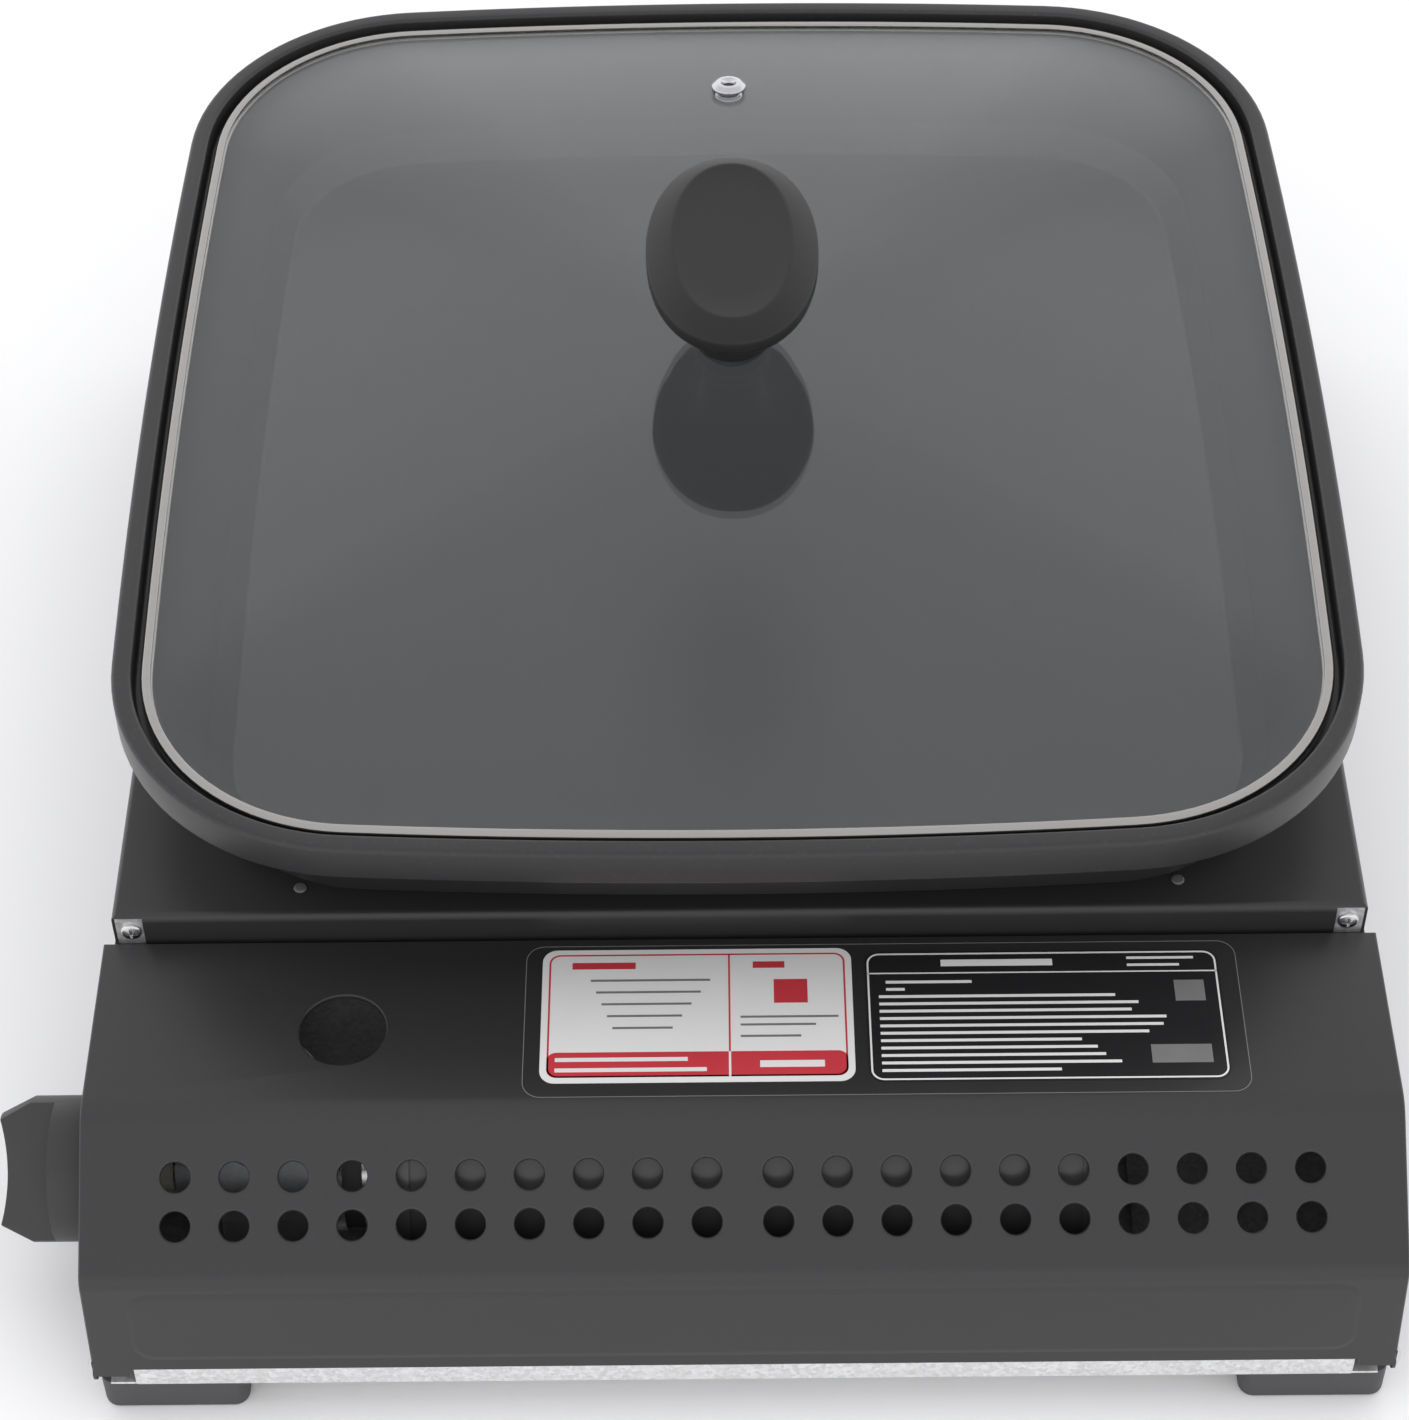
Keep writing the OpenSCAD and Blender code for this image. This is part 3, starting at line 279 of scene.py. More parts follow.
LABEL_FILM = Finish("label_film", (0.021, 0.021, 0.022), (0.025, 0.025, 0.026), scale=80.0,
                    rough=(0.26, 0.32), relief=0.0, coat=0.1)
FLOOR_PAPER = Finish("floor_paper", (0.90, 0.90, 0.90), (0.92, 0.92, 0.92), scale=2.0,
                     rough=(0.7, 0.8), relief=0.0)
GLASS = ClearGlass()

SLOT_FINISH: dict[str, Finish | ClearGlass] = {
    "galvanised": ZINC_COAT, "foot_rubber": RUBBER, "zinc_steel": ZINC_PLATE,
    "black_paint": BLACK_PAINT, "label_pale": LABEL_PALE, "label_dark": LABEL_DARK,
    "can_paint": CAN_PAINT_WITH_PAINTED_SHADE, "tinplate": TINPLATE, "brass": BRASS, "magnet": MAGNET,
    "cast_alloy": CAST_ALLOY, "knob_plastic": KNOB_PLASTIC, "bezel_plastic": BEZEL_PLASTIC,
    "pale_plastic": PALE_PLASTIC, "lead_sleeve": LEAD_SLEEVE, "ceramic": CERAMIC,
    "copper": COPPER, "burner_iron": BURNER_IRON, "heat_alloy": HEAT_ALLOY,
    "dark_enamel": ENAMEL, "bright_wire": BRIGHT_WIRE, "pan_coating": PAN_COAT,
    "lid_glass": GLASS, "stainless": STAINLESS, "silicone": SILICONE,
    "handle_plastic": HANDLE_PLASTIC,
}


def rounded(points: Sequence[Point], radii: Sequence[float], steps: int = 8) -> list[Point]:
    """Rounds the corners of an open line.

    Args:
        points: the line's corners.
        radii: the radius at each corner; 0 keeps it sharp, and the two ends are kept.
        steps: pieces in each arc.

    Returns:
        The rounded line's points.
    """
    out: list[Point] = []
    for i, (p, r) in enumerate(zip(points, radii)):
        if r <= 0 or i in (0, len(points) - 1):
            out.append(tuple(p))
            continue
        here = Vector(p)
        u = (Vector(points[i - 1]) - here).normalized()
        v = (Vector(points[i + 1]) - here).normalized()
        half = u.angle(v) / 2
        centre = here + (u + v).normalized() * (r / math.sin(half))
        start = here + u * (r / math.tan(half)) - centre
        end = here + v * (r / math.tan(half)) - centre
        first = math.atan2(start.y, start.x)
        turn = math.remainder(math.atan2(end.y, end.x) - first, math.tau)
        for k in range(steps + 1):
            a = first + turn * k / steps
            out.append((centre.x + r * math.cos(a), centre.y + r * math.sin(a)))
    return out


def set_in(path: Sequence[Point], distance: float) -> list[Point]:
    """Moves an open line sideways, to the right of its direction reversed.

    Args:
        path: the line's corners.
        distance: how far it moves.

    Returns:
        The corners of the moved line.
    """
    corners = [Vector(p) for p in path]
    runs = [(b - a).normalized() for a, b in zip(corners, corners[1:])]
    sides = [Vector((-d.y, d.x)) for d in runs]
    out = [corners[0] + sides[0] * distance]
    for i in range(1, len(corners) - 1):
        mid = (sides[i - 1] + sides[i]).normalized()
        out.append(corners[i] + mid * (distance / mid.dot(sides[i])))
    out.append(corners[-1] + sides[-1] * distance)
    return [(p.x, p.y) for p in out]


class Bench:
    """Where meshes are shaped in millimetres and then carried to the frame."""

    def __init__(self) -> None:
        """Finds the datum: the body's centre line, and the fold, one sheet before the shield."""
        low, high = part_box("body_shell")
        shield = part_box("heat_shield")[0]
        self.datum = Vector(((low.x + high.x) / 2, shield.y - SHEET * MM, 0.0))

    def piece(self, bm: BMesh, name: str, body: str, finish: Finish | ClearGlass, slot: str = "",
              replaces: Iterable[str] = (), sharp: float = 32.0) -> bpy.types.Object:
        """Finishes a mesh and carries it to its place.

        Args:
            bm: the shape, in millimetres; it is freed.
            name: the piece's name.
            body: the moving body it rides on.
            finish: its finish.
            slot: the record's material slot; not used.
            replaces: CAD nodes it stands for.
            sharp: edges that turn by more than this angle stay sharp, in degrees.

        Returns:
            The new object.
        """
        carry = Matrix.Translation(self.datum) @ Matrix.Scale(MM, 4)
        bmesh.ops.remove_doubles(bm, verts=bm.verts, dist=1e-4)
        bmesh.ops.transform(bm, matrix=carry, verts=bm.verts)
        bmesh.ops.recalc_face_normals(bm, faces=bm.faces)
        mesh = bpy.data.meshes.new(name)
        bm.to_mesh(mesh)
        bm.free()
        mesh.shade_smooth()
        mesh.set_sharp_from_angle(angle=math.radians(sharp))
        obj = bpy.data.objects.new(name, mesh)
        bpy.context.scene.collection.objects.link(obj)
        mesh.materials.append(finish.material())
        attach(obj, body)
        nodes = list(replaces)
        if nodes:
            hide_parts(*nodes)
        LOG.info("%s: %d faces", name, len(mesh.polygons))
        return obj

    @staticmethod
    def box(bm: BMesh, low: Sequence[float], high: Sequence[float]) -> list[BMVert]:
        """Adds a block.

        Args:
            bm: the shape it is added to.
            low: its lowest corner.
            high: its highest corner.

        Returns:
            The block's vertices.
        """
        lo, hi = Vector(low), Vector(high)
        size = Matrix.Diagonal((*(hi - lo), 1.0))
        made = bmesh.ops.create_cube(bm, size=1.0, matrix=Matrix.Translation((lo + hi) / 2) @ size)
        return made["verts"]

    @staticmethod
    def rod(bm: BMesh, start: Sequence[float], end: Sequence[float], radius: float,
            segments: int = 32) -> list[BMVert]:
        """Adds a closed round bar.

        Args:
            bm: the shape it is added to.
            start: the middle of its first end.
            end: the middle of its other end.
            radius: its radius.
            segments: sides of the bar.

        Returns:
            The bar's vertices.
        """
        a, b = Vector(start), Vector(end)
        turn = (b - a).to_track_quat("Z", "Y").to_matrix().to_4x4()
        made = bmesh.ops.create_cone(bm, cap_ends=True, segments=segments, radius1=radius,
                                     radius2=radius, depth=(b - a).length,
                                     matrix=Matrix.Translation((a + b) / 2) @ turn)
        return made["verts"]

    @staticmethod
    def lathe(bm: BMesh, profile: Sequence[Point], place: Matrix, segments: int = 48,
              closed: bool = False) -> None:
        """Spins a profile of (radius, height) points.

        Args:
            bm: the mesh it is added to.
            profile: the points, lowest first.
            place: carries the spun shape, made round +Z, to where it belongs.
            segments: steps in the full turn.
            closed: joins the last point to the first, as for a ring.
        """
        verts = [bm.verts.new((r, 0.0, h)) for r, h in profile]
        pairs = list(zip(verts, verts[1:])) + ([(verts[-1], verts[0])] if closed else [])
        edges = [bm.edges.new(p) for p in pairs]
        old = set(bm.verts) - set(verts)
        bmesh.ops.spin(bm, geom=verts + edges, cent=(0, 0, 0), axis=(0, 0, 1), angle=math.tau,
                       steps=segments, use_merge=True)
        new = [v for v in bm.verts if v not in old]
        bmesh.ops.remove_doubles(bm, verts=new, dist=1e-4)
        new = [v for v in bm.verts if v not in old]
        bmesh.ops.transform(bm, matrix=place, verts=new)

    @staticmethod
    def rings(bm: BMesh, rings: Sequence[Sequence[Vector]], cap: bool = True,
              closed: bool = False) -> None:
        """Draws a skin through loops that have the same number of points.

        Args:
            bm: the mesh it is added to.
            rings: the loops in order.
            cap: fills the first and last loop.
            closed: joins the last loop back to the first.
        """
        n = len(rings[0])
        verts = [bm.verts.new(p) for p in rings[0]]
        edges = [bm.edges.new((verts[i], verts[(i + 1) % n])) for i in range(n)]
        first, place = edges, {v: i for i, v in enumerate(verts)}
        if cap:
            bmesh.ops.contextual_create(bm, geom=edges)
        for ring in rings[1:]:
            made = bmesh.ops.extrude_edge_only(bm, edges=edges)["geom"]
            new = [g for g in made if isinstance(g, BMVert)]
            fresh = set(new)
            edges = [g for g in made if isinstance(g, BMEdge) and set(g.verts) <= fresh]
            here: dict[BMVert, int] = {}
            for v in new:
                here[v] = next(place[e.other_vert(v)] for e in v.link_edges
                               if e.other_vert(v) in place)
            for v, i in here.items():
                v.co = ring[i]
            place = here
        if closed:
            bmesh.ops.bridge_loops(bm, edges=first + edges)
        elif cap:
            bmesh.ops.contextual_create(bm, geom=edges)

    @staticmethod
    def slab(bm: BMesh, outline: Sequence[Sequence[float]], rise: Vector) -> None:
        """Adds a flat face and pulls it into a closed slab.

        Args:
            bm: the shape it is added to.
            outline: the face's corners in order.
            rise: how far, and which way, the face is pulled.
        """
        face = bm.faces.new([bm.verts.new(p) for p in outline])
        made = bmesh.ops.extrude_face_region(bm, geom=[face], use_keep_orig=True)
        top = [g for g in made["geom"] if isinstance(g, BMVert)]
        bmesh.ops.translate(bm, vec=rise, verts=top)

    @staticmethod
    def worked(bm: BMesh, work: Callable[[bpy.types.Object], None]) -> BMesh:
        """Runs modifiers on a mesh.

        Args:
            bm: the shape; it is freed.
            work: adds the modifiers to the object it is given.

        Returns:
            The shape with its modifiers applied.
        """
        mesh = bpy.data.meshes.new("work")
        bmesh.ops.recalc_face_normals(bm, faces=bm.faces)
        bm.to_mesh(mesh)
        bm.free()
        obj = bpy.data.objects.new("work", mesh)
        bpy.context.scene.collection.objects.link(obj)
        work(obj)
        bpy.context.view_layer.update()
        graph = bpy.context.evaluated_depsgraph_get()
        done = bpy.data.meshes.new_from_object(obj.evaluated_get(graph))
        out = bmesh.new()
        out.from_mesh(done)
        bpy.data.objects.remove(obj)
        bpy.data.meshes.remove(mesh)
        bpy.data.meshes.remove(done)
        return out

    @classmethod
    def carved(cls, bm: BMesh, cutter: BMesh) -> BMesh:
        """Cuts one closed shape out of another.

        Args:
            bm: the shape that is cut; it is freed.
            cutter: what is cut away; it is freed.

        Returns:
            The shape that is left.
        """
        mesh = bpy.data.meshes.new("cutter")
        bmesh.ops.recalc_face_normals(cutter, faces=cutter.faces)
        cutter.to_mesh(mesh)
        cutter.free()
        tool = bpy.data.objects.new("cutter", mesh)
        bpy.context.scene.collection.objects.link(tool)

        def work(obj: bpy.types.Object) -> None:
            """Adds the cut."""
            cut = obj.modifiers.new("cut", "BOOLEAN")
            cut.operation, cut.solver, cut.object = "DIFFERENCE", "EXACT", tool
            cut.use_self = True

        out = cls.worked(bm, work)
        bpy.data.objects.remove(tool)
        bpy.data.meshes.remove(mesh)
        return out

    @classmethod
    def thickened(cls, bm: BMesh, wall: float, inward: float = -1.0) -> BMesh:
        """Gives a skin its wall.

        Args:
            bm: the skin; it is freed.
            wall: thickness of the wall.
            inward: -1 for a wall inside the skin, 1 for one outside it.

        Returns:
            The closed shape.
        """

        def work(obj: bpy.types.Object) -> None:
            """Adds the wall."""
            wall_mod = obj.modifiers.new("wall", "SOLIDIFY")
            wall_mod.thickness, wall_mod.offset = wall, inward
            wall_mod.use_even_offset = True

        return cls.worked(bm, work)

    @classmethod
    def softened(cls, bm: BMesh, width: float, segments: int = 3, angle: float = 30.0) -> BMesh:
        """Rounds every edge that is sharper than an angle.

        Args:
            bm: the shape; it is freed.
            width: width of the rounding.
            segments: pieces in each rounding.
            angle: edges that turn by more than this are rounded, in degrees.

        Returns:
            The rounded shape.
        """

        def work(obj: bpy.types.Object) -> None:
            """Adds the rounding."""
            round_mod = obj.modifiers.new("round", "BEVEL")
            round_mod.width, round_mod.segments = width, segments
            round_mod.limit_method, round_mod.angle_limit = "ANGLE", math.radians(angle)

        return cls.worked(bm, work)


@dataclass
class Pan:
    """The loose pan: a rounded square with bowed sides, in millimetres."""

    bench: Bench
    half_w: float = 170.3
    half_l: float = 182.5
    bow_front: float = 1716.0
    bow_side: float = 3160.0
    corner: float = 69.5
    centre_y: float = 161.5
    rim_z: float = 138.0
    skirt: float = 11.6
    rim_w: float = 5.4
    seat: float = 6.7
    ledge: float = 5.2
    depth: float = 41.0
    slope: float = 12.5
    floor: float = 4.0
    wall: float = 3.0

    def outline(self, inset: float, z: float, scale: float = 1.0) -> list[Vector]:
        """Points round the pan.

        Args:
            inset: how far inside the rim's edge.
            z: height.
            scale: shrinks the outline towards the middle.

        Returns:
            The loop's points.
        """
        front = Vector((0.0, self.half_l - self.bow_front))
        side = Vector((self.half_w - self.bow_side, 0.0))
        gap = side - front
        r1, r2 = self.bow_front - self.corner, self.bow_side - self.corner
        along = (r1 * r1 - r2 * r2 + gap.length_squared) / (2 * gap.length)
        off = math.sqrt(r1 * r1 - along * along)
        n = gap.normalized()
        centre = front + n * along + Vector((n.y, -n.x)) * off
        a0 = math.atan2(centre.y - front.y, centre.x)
        a1 = math.atan2(centre.y, centre.x - side.x)
        quarter: list[Vector] = []
        for mid, radius, start, end, steps in (
                (front, self.bow_front, math.pi / 2, a0, 10),
                (centre, self.corner, a0, a1, 22),
                (side, self.bow_side, a1, 0.0, 10)):
            for k in range(steps if mid is not side else steps + 1):
                a = start + (end - start) * k / steps
                quarter.append(mid + Vector((math.cos(a), math.sin(a))) * (radius - inset))
        flat = quarter[:]
        flat += [Vector((p.x, -p.y)) for p in reversed(quarter[:-1])]
        flat += [Vector((-p.x, -p.y)) for p in quarter[1:]]
        flat += [Vector((-p.x, p.y)) for p in reversed(quarter[1:-1])]
        return [Vector((p.x * scale, p.y * scale + self.centre_y, z)) for p in flat]

    def section(self) -> list[Point]:
        """Section from the middle of the underside, round the rim, to the middle of the floor."""
        base = self.rim_z - self.depth - self.floor
        floor = self.rim_z - self.depth
        seat = self.rim_z - self.seat
        inner = self.rim_w + self.ledge
        under = seat - self.wall
        foot = inner + self.slope
        corners = [(60.0, base), (foot, base), (inner - self.wall, under), (self.wall, under),
                   (self.wall, self.rim_z - self.skirt), (0.0, self.rim_z - self.skirt),
                   (0.0, self.rim_z), (self.rim_w, self.rim_z), (self.rim_w, seat), (inner, seat),
                   (foot, floor + 8), (foot + 6, floor), (60.0, floor)]
        radii = [0, 7, 3, 1.5, 0.7, 0.9, 1.5, 1.1, 1.0, 1.4, 6, 1.6, 0]
        return rounded(corners, radii, 6)

    def build(self) -> None:
        """Builds and dresses the pan."""
        bm = bmesh.new()
        line = self.section()
        loops = [self.outline(d, z) for d, z in line]
        first, last = line[0], line[-1]
        loops = [self.outline(first[0], first[1], k) for k in (0.05, 0.4)] + loops
        loops += [self.outline(last[0], last[1], k) for k in (0.4, 0.05)]
        self.bench.rings(bm, loops)
        self.bench.piece(bm, "pan_body", "pan", PAN_COAT, "pan_coating", ["pan"], sharp=50)


@dataclass
class Lid:
    """The loose lid: a glass dome in a steel band, with a vent and a knob."""

    bench: Bench
    pan: Pan
    gap: float = 2.2
    band_w: float = 2.8
    band_h: float = 4.5
    rest: float = 0.3
    rise: float = 16.5
    glass_t: float = 3.4
    vent_y: float = 131.0
    vent_d: float = 10.8
    knob_w: float = 48.5
    knob_l: float = 81.0
    knob_h: float = 37.5
    knob_side: float = 5.0
    neck: Point = (11.0, 9.0)
    dome_end: float = 0.08

    @property
    def band_z(self) -> float:
        """Height of the band's underside."""
        return self.pan.rim_z - self.pan.seat + self.rest

    @property
    def inset(self) -> float:
        """How far the band's outer face lies inside the pan's rim."""
        return self.pan.rim_w + self.gap

    @property
    def glass_edge_z(self) -> float:
        """Height of the glass's upper face at the band."""
        return self.band_z + self.band_h - SHEET

    @property
    def top_z(self) -> float:
        """Height of the dome's middle."""
        return self.glass_edge_z + self.rise

    def dome_z(self, share: float) -> float:
        """Height of the dome at a share of the way out."""
        return self.glass_edge_z + self.rise * (1 - share * share) / (1 - self.dome_end ** 2)

    def build(self) -> None:
        """Builds and dresses every piece of the lid."""
        self.glass()
        self.band()
        self.vent()
        self.knob()
        self.fixings()

    def glass(self) -> None:
        """The glass: the underside from the middle out, round the edge, and the dome back in."""
        lip = self.inset + self.band_w
        edge = self.inset + 1.0
        low, high = self.band_z + SHEET + 0.02, self.glass_edge_z - 0.02
        drop = self.glass_t * 0.95
        shares = [self.dome_end + (1 - self.dome_end) * k / 20 for k in range(21)]
        loops = [self.pan.outline(lip + 1.5, max(self.dome_z(s) - drop, low), s) for s in shares]
        loops += [self.pan.outline(d, z) for d, z in ((edge + 0.5, low), (edge, low + 0.5),
                                                      (edge, high - 0.5), (edge + 0.5, high))]
        loops += [self.pan.outline(lip, self.dome_z(s) - 0.02, s) for s in reversed(shares)]
        bm = bmesh.new()
        self.bench.rings(bm, loops)
        self.bench.piece(bm, "lid_dome", "lid", GLASS, "lid_glass", ["lid_glass"], sharp=60)

    def band(self) -> None:
        """The steel band, rolled over the glass's edge."""
        a, b = self.inset, self.inset + self.band_w
        low, high = self.band_z, self.band_z + self.band_h
        t, mid = SHEET, (a + b) / 2
        corners = [(mid, low), (a, low), (a, high), (b, high), (b, high - t), (a + t, high - t),
                   (a + t, low + t), (b + 0.6, low + t), (b + 0.6, low), (mid, low)]
        line = rounded(corners, [0, 0.9, 1.0, 0.35, 0.3, 0.3, 0.3, 0.3, 0.3, 0], 5)[:-1]
        bm = bmesh.new()
        self.bench.rings(bm, [self.pan.outline(d, z) for d, z in line], cap=False, closed=True)
        self.bench.piece(bm, "lid_steel_band", "lid", STAINLESS, "stainless", ["lid_band"],
                         sharp=60)

    def vent(self) -> None:
        """The vent: a rolled steel eyelet through the glass."""
        reach = self.pan.half_l - self.inset - self.band_w
        share = self.vent_y / reach
        fall = 2 * self.rise * share / (1 - self.dome_end ** 2) / reach
        place = Matrix.Translation((0, self.pan.centre_y + self.vent_y, self.dome_z(share)))
        place = place @ Matrix.Rotation(-math.atan(fall), 4, "X")
        r, bore = self.vent_d / 2, 1.8
        corners = [(bore, -5.4), (r - 1, -5.4), (r - 1, -4.2), (r - 2.1, -4.2), (r - 2.1, 0.2),
                   (r, 0.2), (r, 1.0), (r - 1.4, 2.0), (bore + 0.8, 2.2), (bore, 0.8), (bore, -5.4)]
        line = rounded(corners, [0, 0.3, 0.3, 0.3, 0.2, 0.25, 0.5, 0.6, 0.5, 0.4, 0], 4)[:-1]
        bm = bmesh.new()
        self.bench.lathe(bm, line, place, 40, closed=True)
        self.bench.piece(bm, "steam_eyelet", "lid", BRIGHT_WIRE, "stainless", ["steam_vent"])

    def oval(self, wide: float, long: float, z: float, power: float = 2.15) -> list[Vector]:
        """Draws a loop round the knob's cap, a little squarer than an ellipse.

        Args:
            wide: its width.
            long: its length.
            z: its height.
            power: 2 for an ellipse, more for a squarer loop.

        Returns:
            The loop's points.
        """
        points = []
        for k in range(FINE):
            a = math.tau * k / FINE
            c, s = math.cos(a), math.sin(a)
            x = math.copysign(abs(c) ** (2 / power), c) * wide / 2
            y = math.copysign(abs(s) ** (2 / power), s) * long / 2
            points.append(Vector((x, y + self.pan.centre_y, z)))
        return points

    def knob(self) -> None:
        """The knob: an oval cap with a shallow dish, on a waisted neck."""
        top = self.top_z + self.knob_h
        w, l = self.knob_w, self.knob_l
        edge = top - 3.0
        low = edge - self.knob_side
        stack = [(18.4, 18.4, top - 15.0), (19.5, 20.0, top - 13.4), (28.0, 40.0, low - 1.6),
                 (w - 6.0, l - 8.0, low - 0.6), (w - 1.4, l - 1.4, low),
                 (w - 0.5, l - 0.5, low + 0.5), (w - 0.1, l - 0.1, low + 1.3), (w, l, edge - 0.9),
                 (w - 0.35, l - 0.35, edge - 0.3), (w - 1.1, l - 1.1, edge),
                 (w - 13.6, l - 12.4, top - 0.22), (w - 15.2, l - 14.0, top),
                 (w - 16.4, l - 15.4, top - 0.12), (w - 24, l - 34, top - 0.5),
                 (8.0, 12.0, top - 0.7)]
        bm = bmesh.new()
        self.bench.rings(bm, [self.oval(*row) for row in stack])
        self.bench.piece(bm, "lid_knob_top", "lid", HANDLE_PLASTIC, "handle_plastic",
                         ["lid_knob_cap"], sharp=60)
        z = self.top_z + 1.0
        foot, waist = self.neck
        line = rounded([(0.0, z), (foot, z), (foot, z + 3), (waist, z + 7), (waist, top - 18),
                        (foot, top - 14), (0.0, top - 14)], [0, 0.6, 1.6, 4, 5, 0.6, 0], 6)
        bm = bmesh.new()
        self.bench.lathe(bm, line, Matrix.Translation((0, self.pan.centre_y, 0)), FINE)
        self.bench.piece(bm, "lid_knob_stem", "lid", HANDLE_PLASTIC, "handle_plastic",
                         ["lid_knob_neck"])

    def fixings(self) -> None:
        """The knob's seal above the glass."""
        z = self.top_z - 0.1
        r = self.neck[0] - 0.4
        line = rounded([(2.6, z), (r, z), (r, z + 1.1), (2.6, z + 1.1), (2.6, z)],
                       [0, 0.3, 0.4, 0, 0], 4)[:-1]
        bm = bmesh.new()
        self.bench.lathe(bm, line, Matrix.Translation((0, self.pan.centre_y, 0)), FINE, closed=True)
        self.bench.piece(bm, "lid_knob_ring", "lid", SILICONE, "silicone", ["lid_knob_seal"])


@dataclass
class Cover:
    """The hinged cover over the cartridge bay, folded from one sheet."""

    bench: Bench
    width: float = 345.0
    height: float = 80.5
    gap: float = 1.2
    flat: float = 56.7
    facet: float = 44.5
    facet_angle: float = 37.0
    lower_angle: float = 80.5
    ear_z: float = 19.2
    edge_z: float = 21.8
    cut: float = 162.5
    bends: tuple[float, float] = (12.0, 7.0)
    flange: float = 5.0
    view_at: Point = (-105.5, -31.5)
    view_r: float = 11.5
    vent_r: float = 3.9
    vent_count: int = 20
    vent_pitch: float = 15.35
    vent_mid: float = 3.2
    vent_rows: float = 12.7
    vent_down: float = 23.35
    roll: float = 0.85
    panel_x: float = 161.0
    panel_z: Point = (25.5, 50.0)
    path: list[Point] = field(init=False)

    def __post_init__(self) -> None:
        """Works out the corners of the folded line, back edge to ear."""
        a, b = math.radians(self.facet_angle), math.radians(self.lower_angle)
        first = Vector((-self.gap - self.flat, self.height))
        second = first - Vector((math.cos(a), math.sin(a))) * self.facet
        ear = second - Vector((math.cos(b), math.sin(b))) * ((second.y - self.ear_z) / math.sin(b))
        self.path = [(-self.gap, self.height), tuple(first), tuple(second), tuple(ear)]

    def line(self, inset: float) -> list[Point]:
        """The folded line, moved inside the sheet's outer face by an inset."""
        radii = [0, max(self.bends[0] - inset, 0.5), max(self.bends[1] - inset, 0.5), 0]
        return rounded(set_in(self.path, inset), radii, 12)

    def build(self) -> None:
        """Builds and dresses the cover and what is on it."""
        self.sheet()
        self.rims()
        self.pressing()
        self.labels()

    def skin(self) -> BMesh:
        """The folded skin with its end flanges and back lip, before it has a wall."""
        bm = bmesh.new()
        end = self.width / 2
        line, low = self.line(0.0), self.line(self.flange)
        bands = [(-end, low), (-end, line), (end, line), (end, low)]
        rows = []
        for x, pts in bands:
            rows.append([bm.verts.new((x, y, z)) for y, z in pts])
        for row in rows:
            for a, b in zip(row, row[1:]):
                bm.edges.new((a, b))
        for one, two in zip(rows, rows[1:]):
            loops = [e for e in bm.edges if set(e.verts) <= set(one) or set(e.verts) <= set(two)]
            bmesh.ops.bridge_loops(bm, edges=loops)
        back = [e for e in bm.edges
                if all(abs(v.co.y + self.gap) < 1e-3 and abs(v.co.z - self.height) < 1e-3
                       for v in e.verts)]
        made = bmesh.ops.extrude_edge_only(bm, edges=back)["geom"]
        lip = [g for g in made if isinstance(g, BMVert)]
        bmesh.ops.translate(bm, vec=(0, 0, -self.flange), verts=lip)
        for v in lip:
            v.co.x *= (end - 3.4) / end
        folds = [e for e in bm.edges if all(abs(abs(v.co.x) - end) < 1e-3 for v in e.verts)
                 and len(e.link_faces) == 2 and abs(e.calc_face_angle(0.0)) > 1.2]
        bmesh.ops.bevel(bm, geom=folds, offset=1.0, segments=3, affect="EDGES", profile=0.5,
                        material=-1)
        return bm

    def vents(self) -> list[Matrix]:
        """Where each vent hole is: its middle on the facet, with +Z out of the sheet."""
        a = math.radians(self.facet_angle)
        along = Vector((0, -math.cos(a), -math.sin(a)))
        tilt = Matrix.Rotation(a, 4, "X")
        start = Vector((0, *self.path[1]))
        places = []
        for row in (-0.5, 0.5):
            for i in range(self.vent_count):
                side = -0.5 if i < self.vent_count / 2 else 0.5
                x = (i - (self.vent_count - 1) / 2) * self.vent_pitch + side * self.vent_mid
                at = start + along * (self.vent_down + row * self.vent_rows) + Vector((x, 0, 0))
                places.append(Matrix.Translation(at) @ tilt)
        return places

    def view_place(self) -> Matrix:
        """Where the round viewing hole is."""
        return Matrix.Translation((*self.view_at, self.height))

    def sheet(self) -> None:
        """The folded sheet with its holes, its cut-out and its hinge ears."""
        bm = self.bench.thickened(self.skin(), SHEET)
        cutter = bmesh.new()
        for place in self.vents():
            self.bench.rod(cutter, place @ Vector((0, 0, -3)), place @ Vector((0, 0, 3)),
                           self.vent_r + self.roll, 32)
        hole = self.view_place()
        self.bench.rod(cutter, hole @ Vector((0, 0, -3)), hole @ Vector((0, 0, 3)),
                       self.view_r + self.roll * 0.6, FINE)
        y = self.path[3][0]
        self.bench.box(cutter, (-self.cut, y - 3, self.ear_z - 6), (self.cut, y + 8, self.edge_z))
        bm = self.bench.carved(bm, cutter)
        self.bench.piece(bm, "cover_sheet", "cover", BLACK_PAINT, "black_paint",
                         ["cartridge_cover"], sharp=28)
        low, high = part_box("hinge_rivets")
        z = (low.z + high.z) / 2 / MM
        y_pin = ((low.y + high.y) / 2 - self.bench.datum.y) / MM
        bm = bmesh.new()
        for side in (-1, 1):
            x = side * (self.width / 2 - SHEET)
            self.bench.rod(bm, (x, y_pin, z), (side * self.width / 2, y_pin, z), 3.8, 40)
            a, b = sorted((x, side * self.width / 2))
            self.bench.box(bm, (a, y_pin - 3.0, z), (b, y_pin + 3.8, self.ear_z + 5))
        self.bench.piece(bm, "cover_ears", "cover", BLACK_PAINT, "black_paint")

    def rims(self) -> None:
        """The rolled edges of the vent holes and of the viewing hole."""
        bm = bmesh.new()
        for place in self.vents():
            self.rim(bm, place, self.vent_r, self.roll, 28)
        self.rim(bm, self.view_place(), self.view_r, self.roll * 0.6, FINE)
        self.bench.piece(bm, "cover_hole_edges", "cover", BLACK_PAINT, "black_paint", sharp=60)

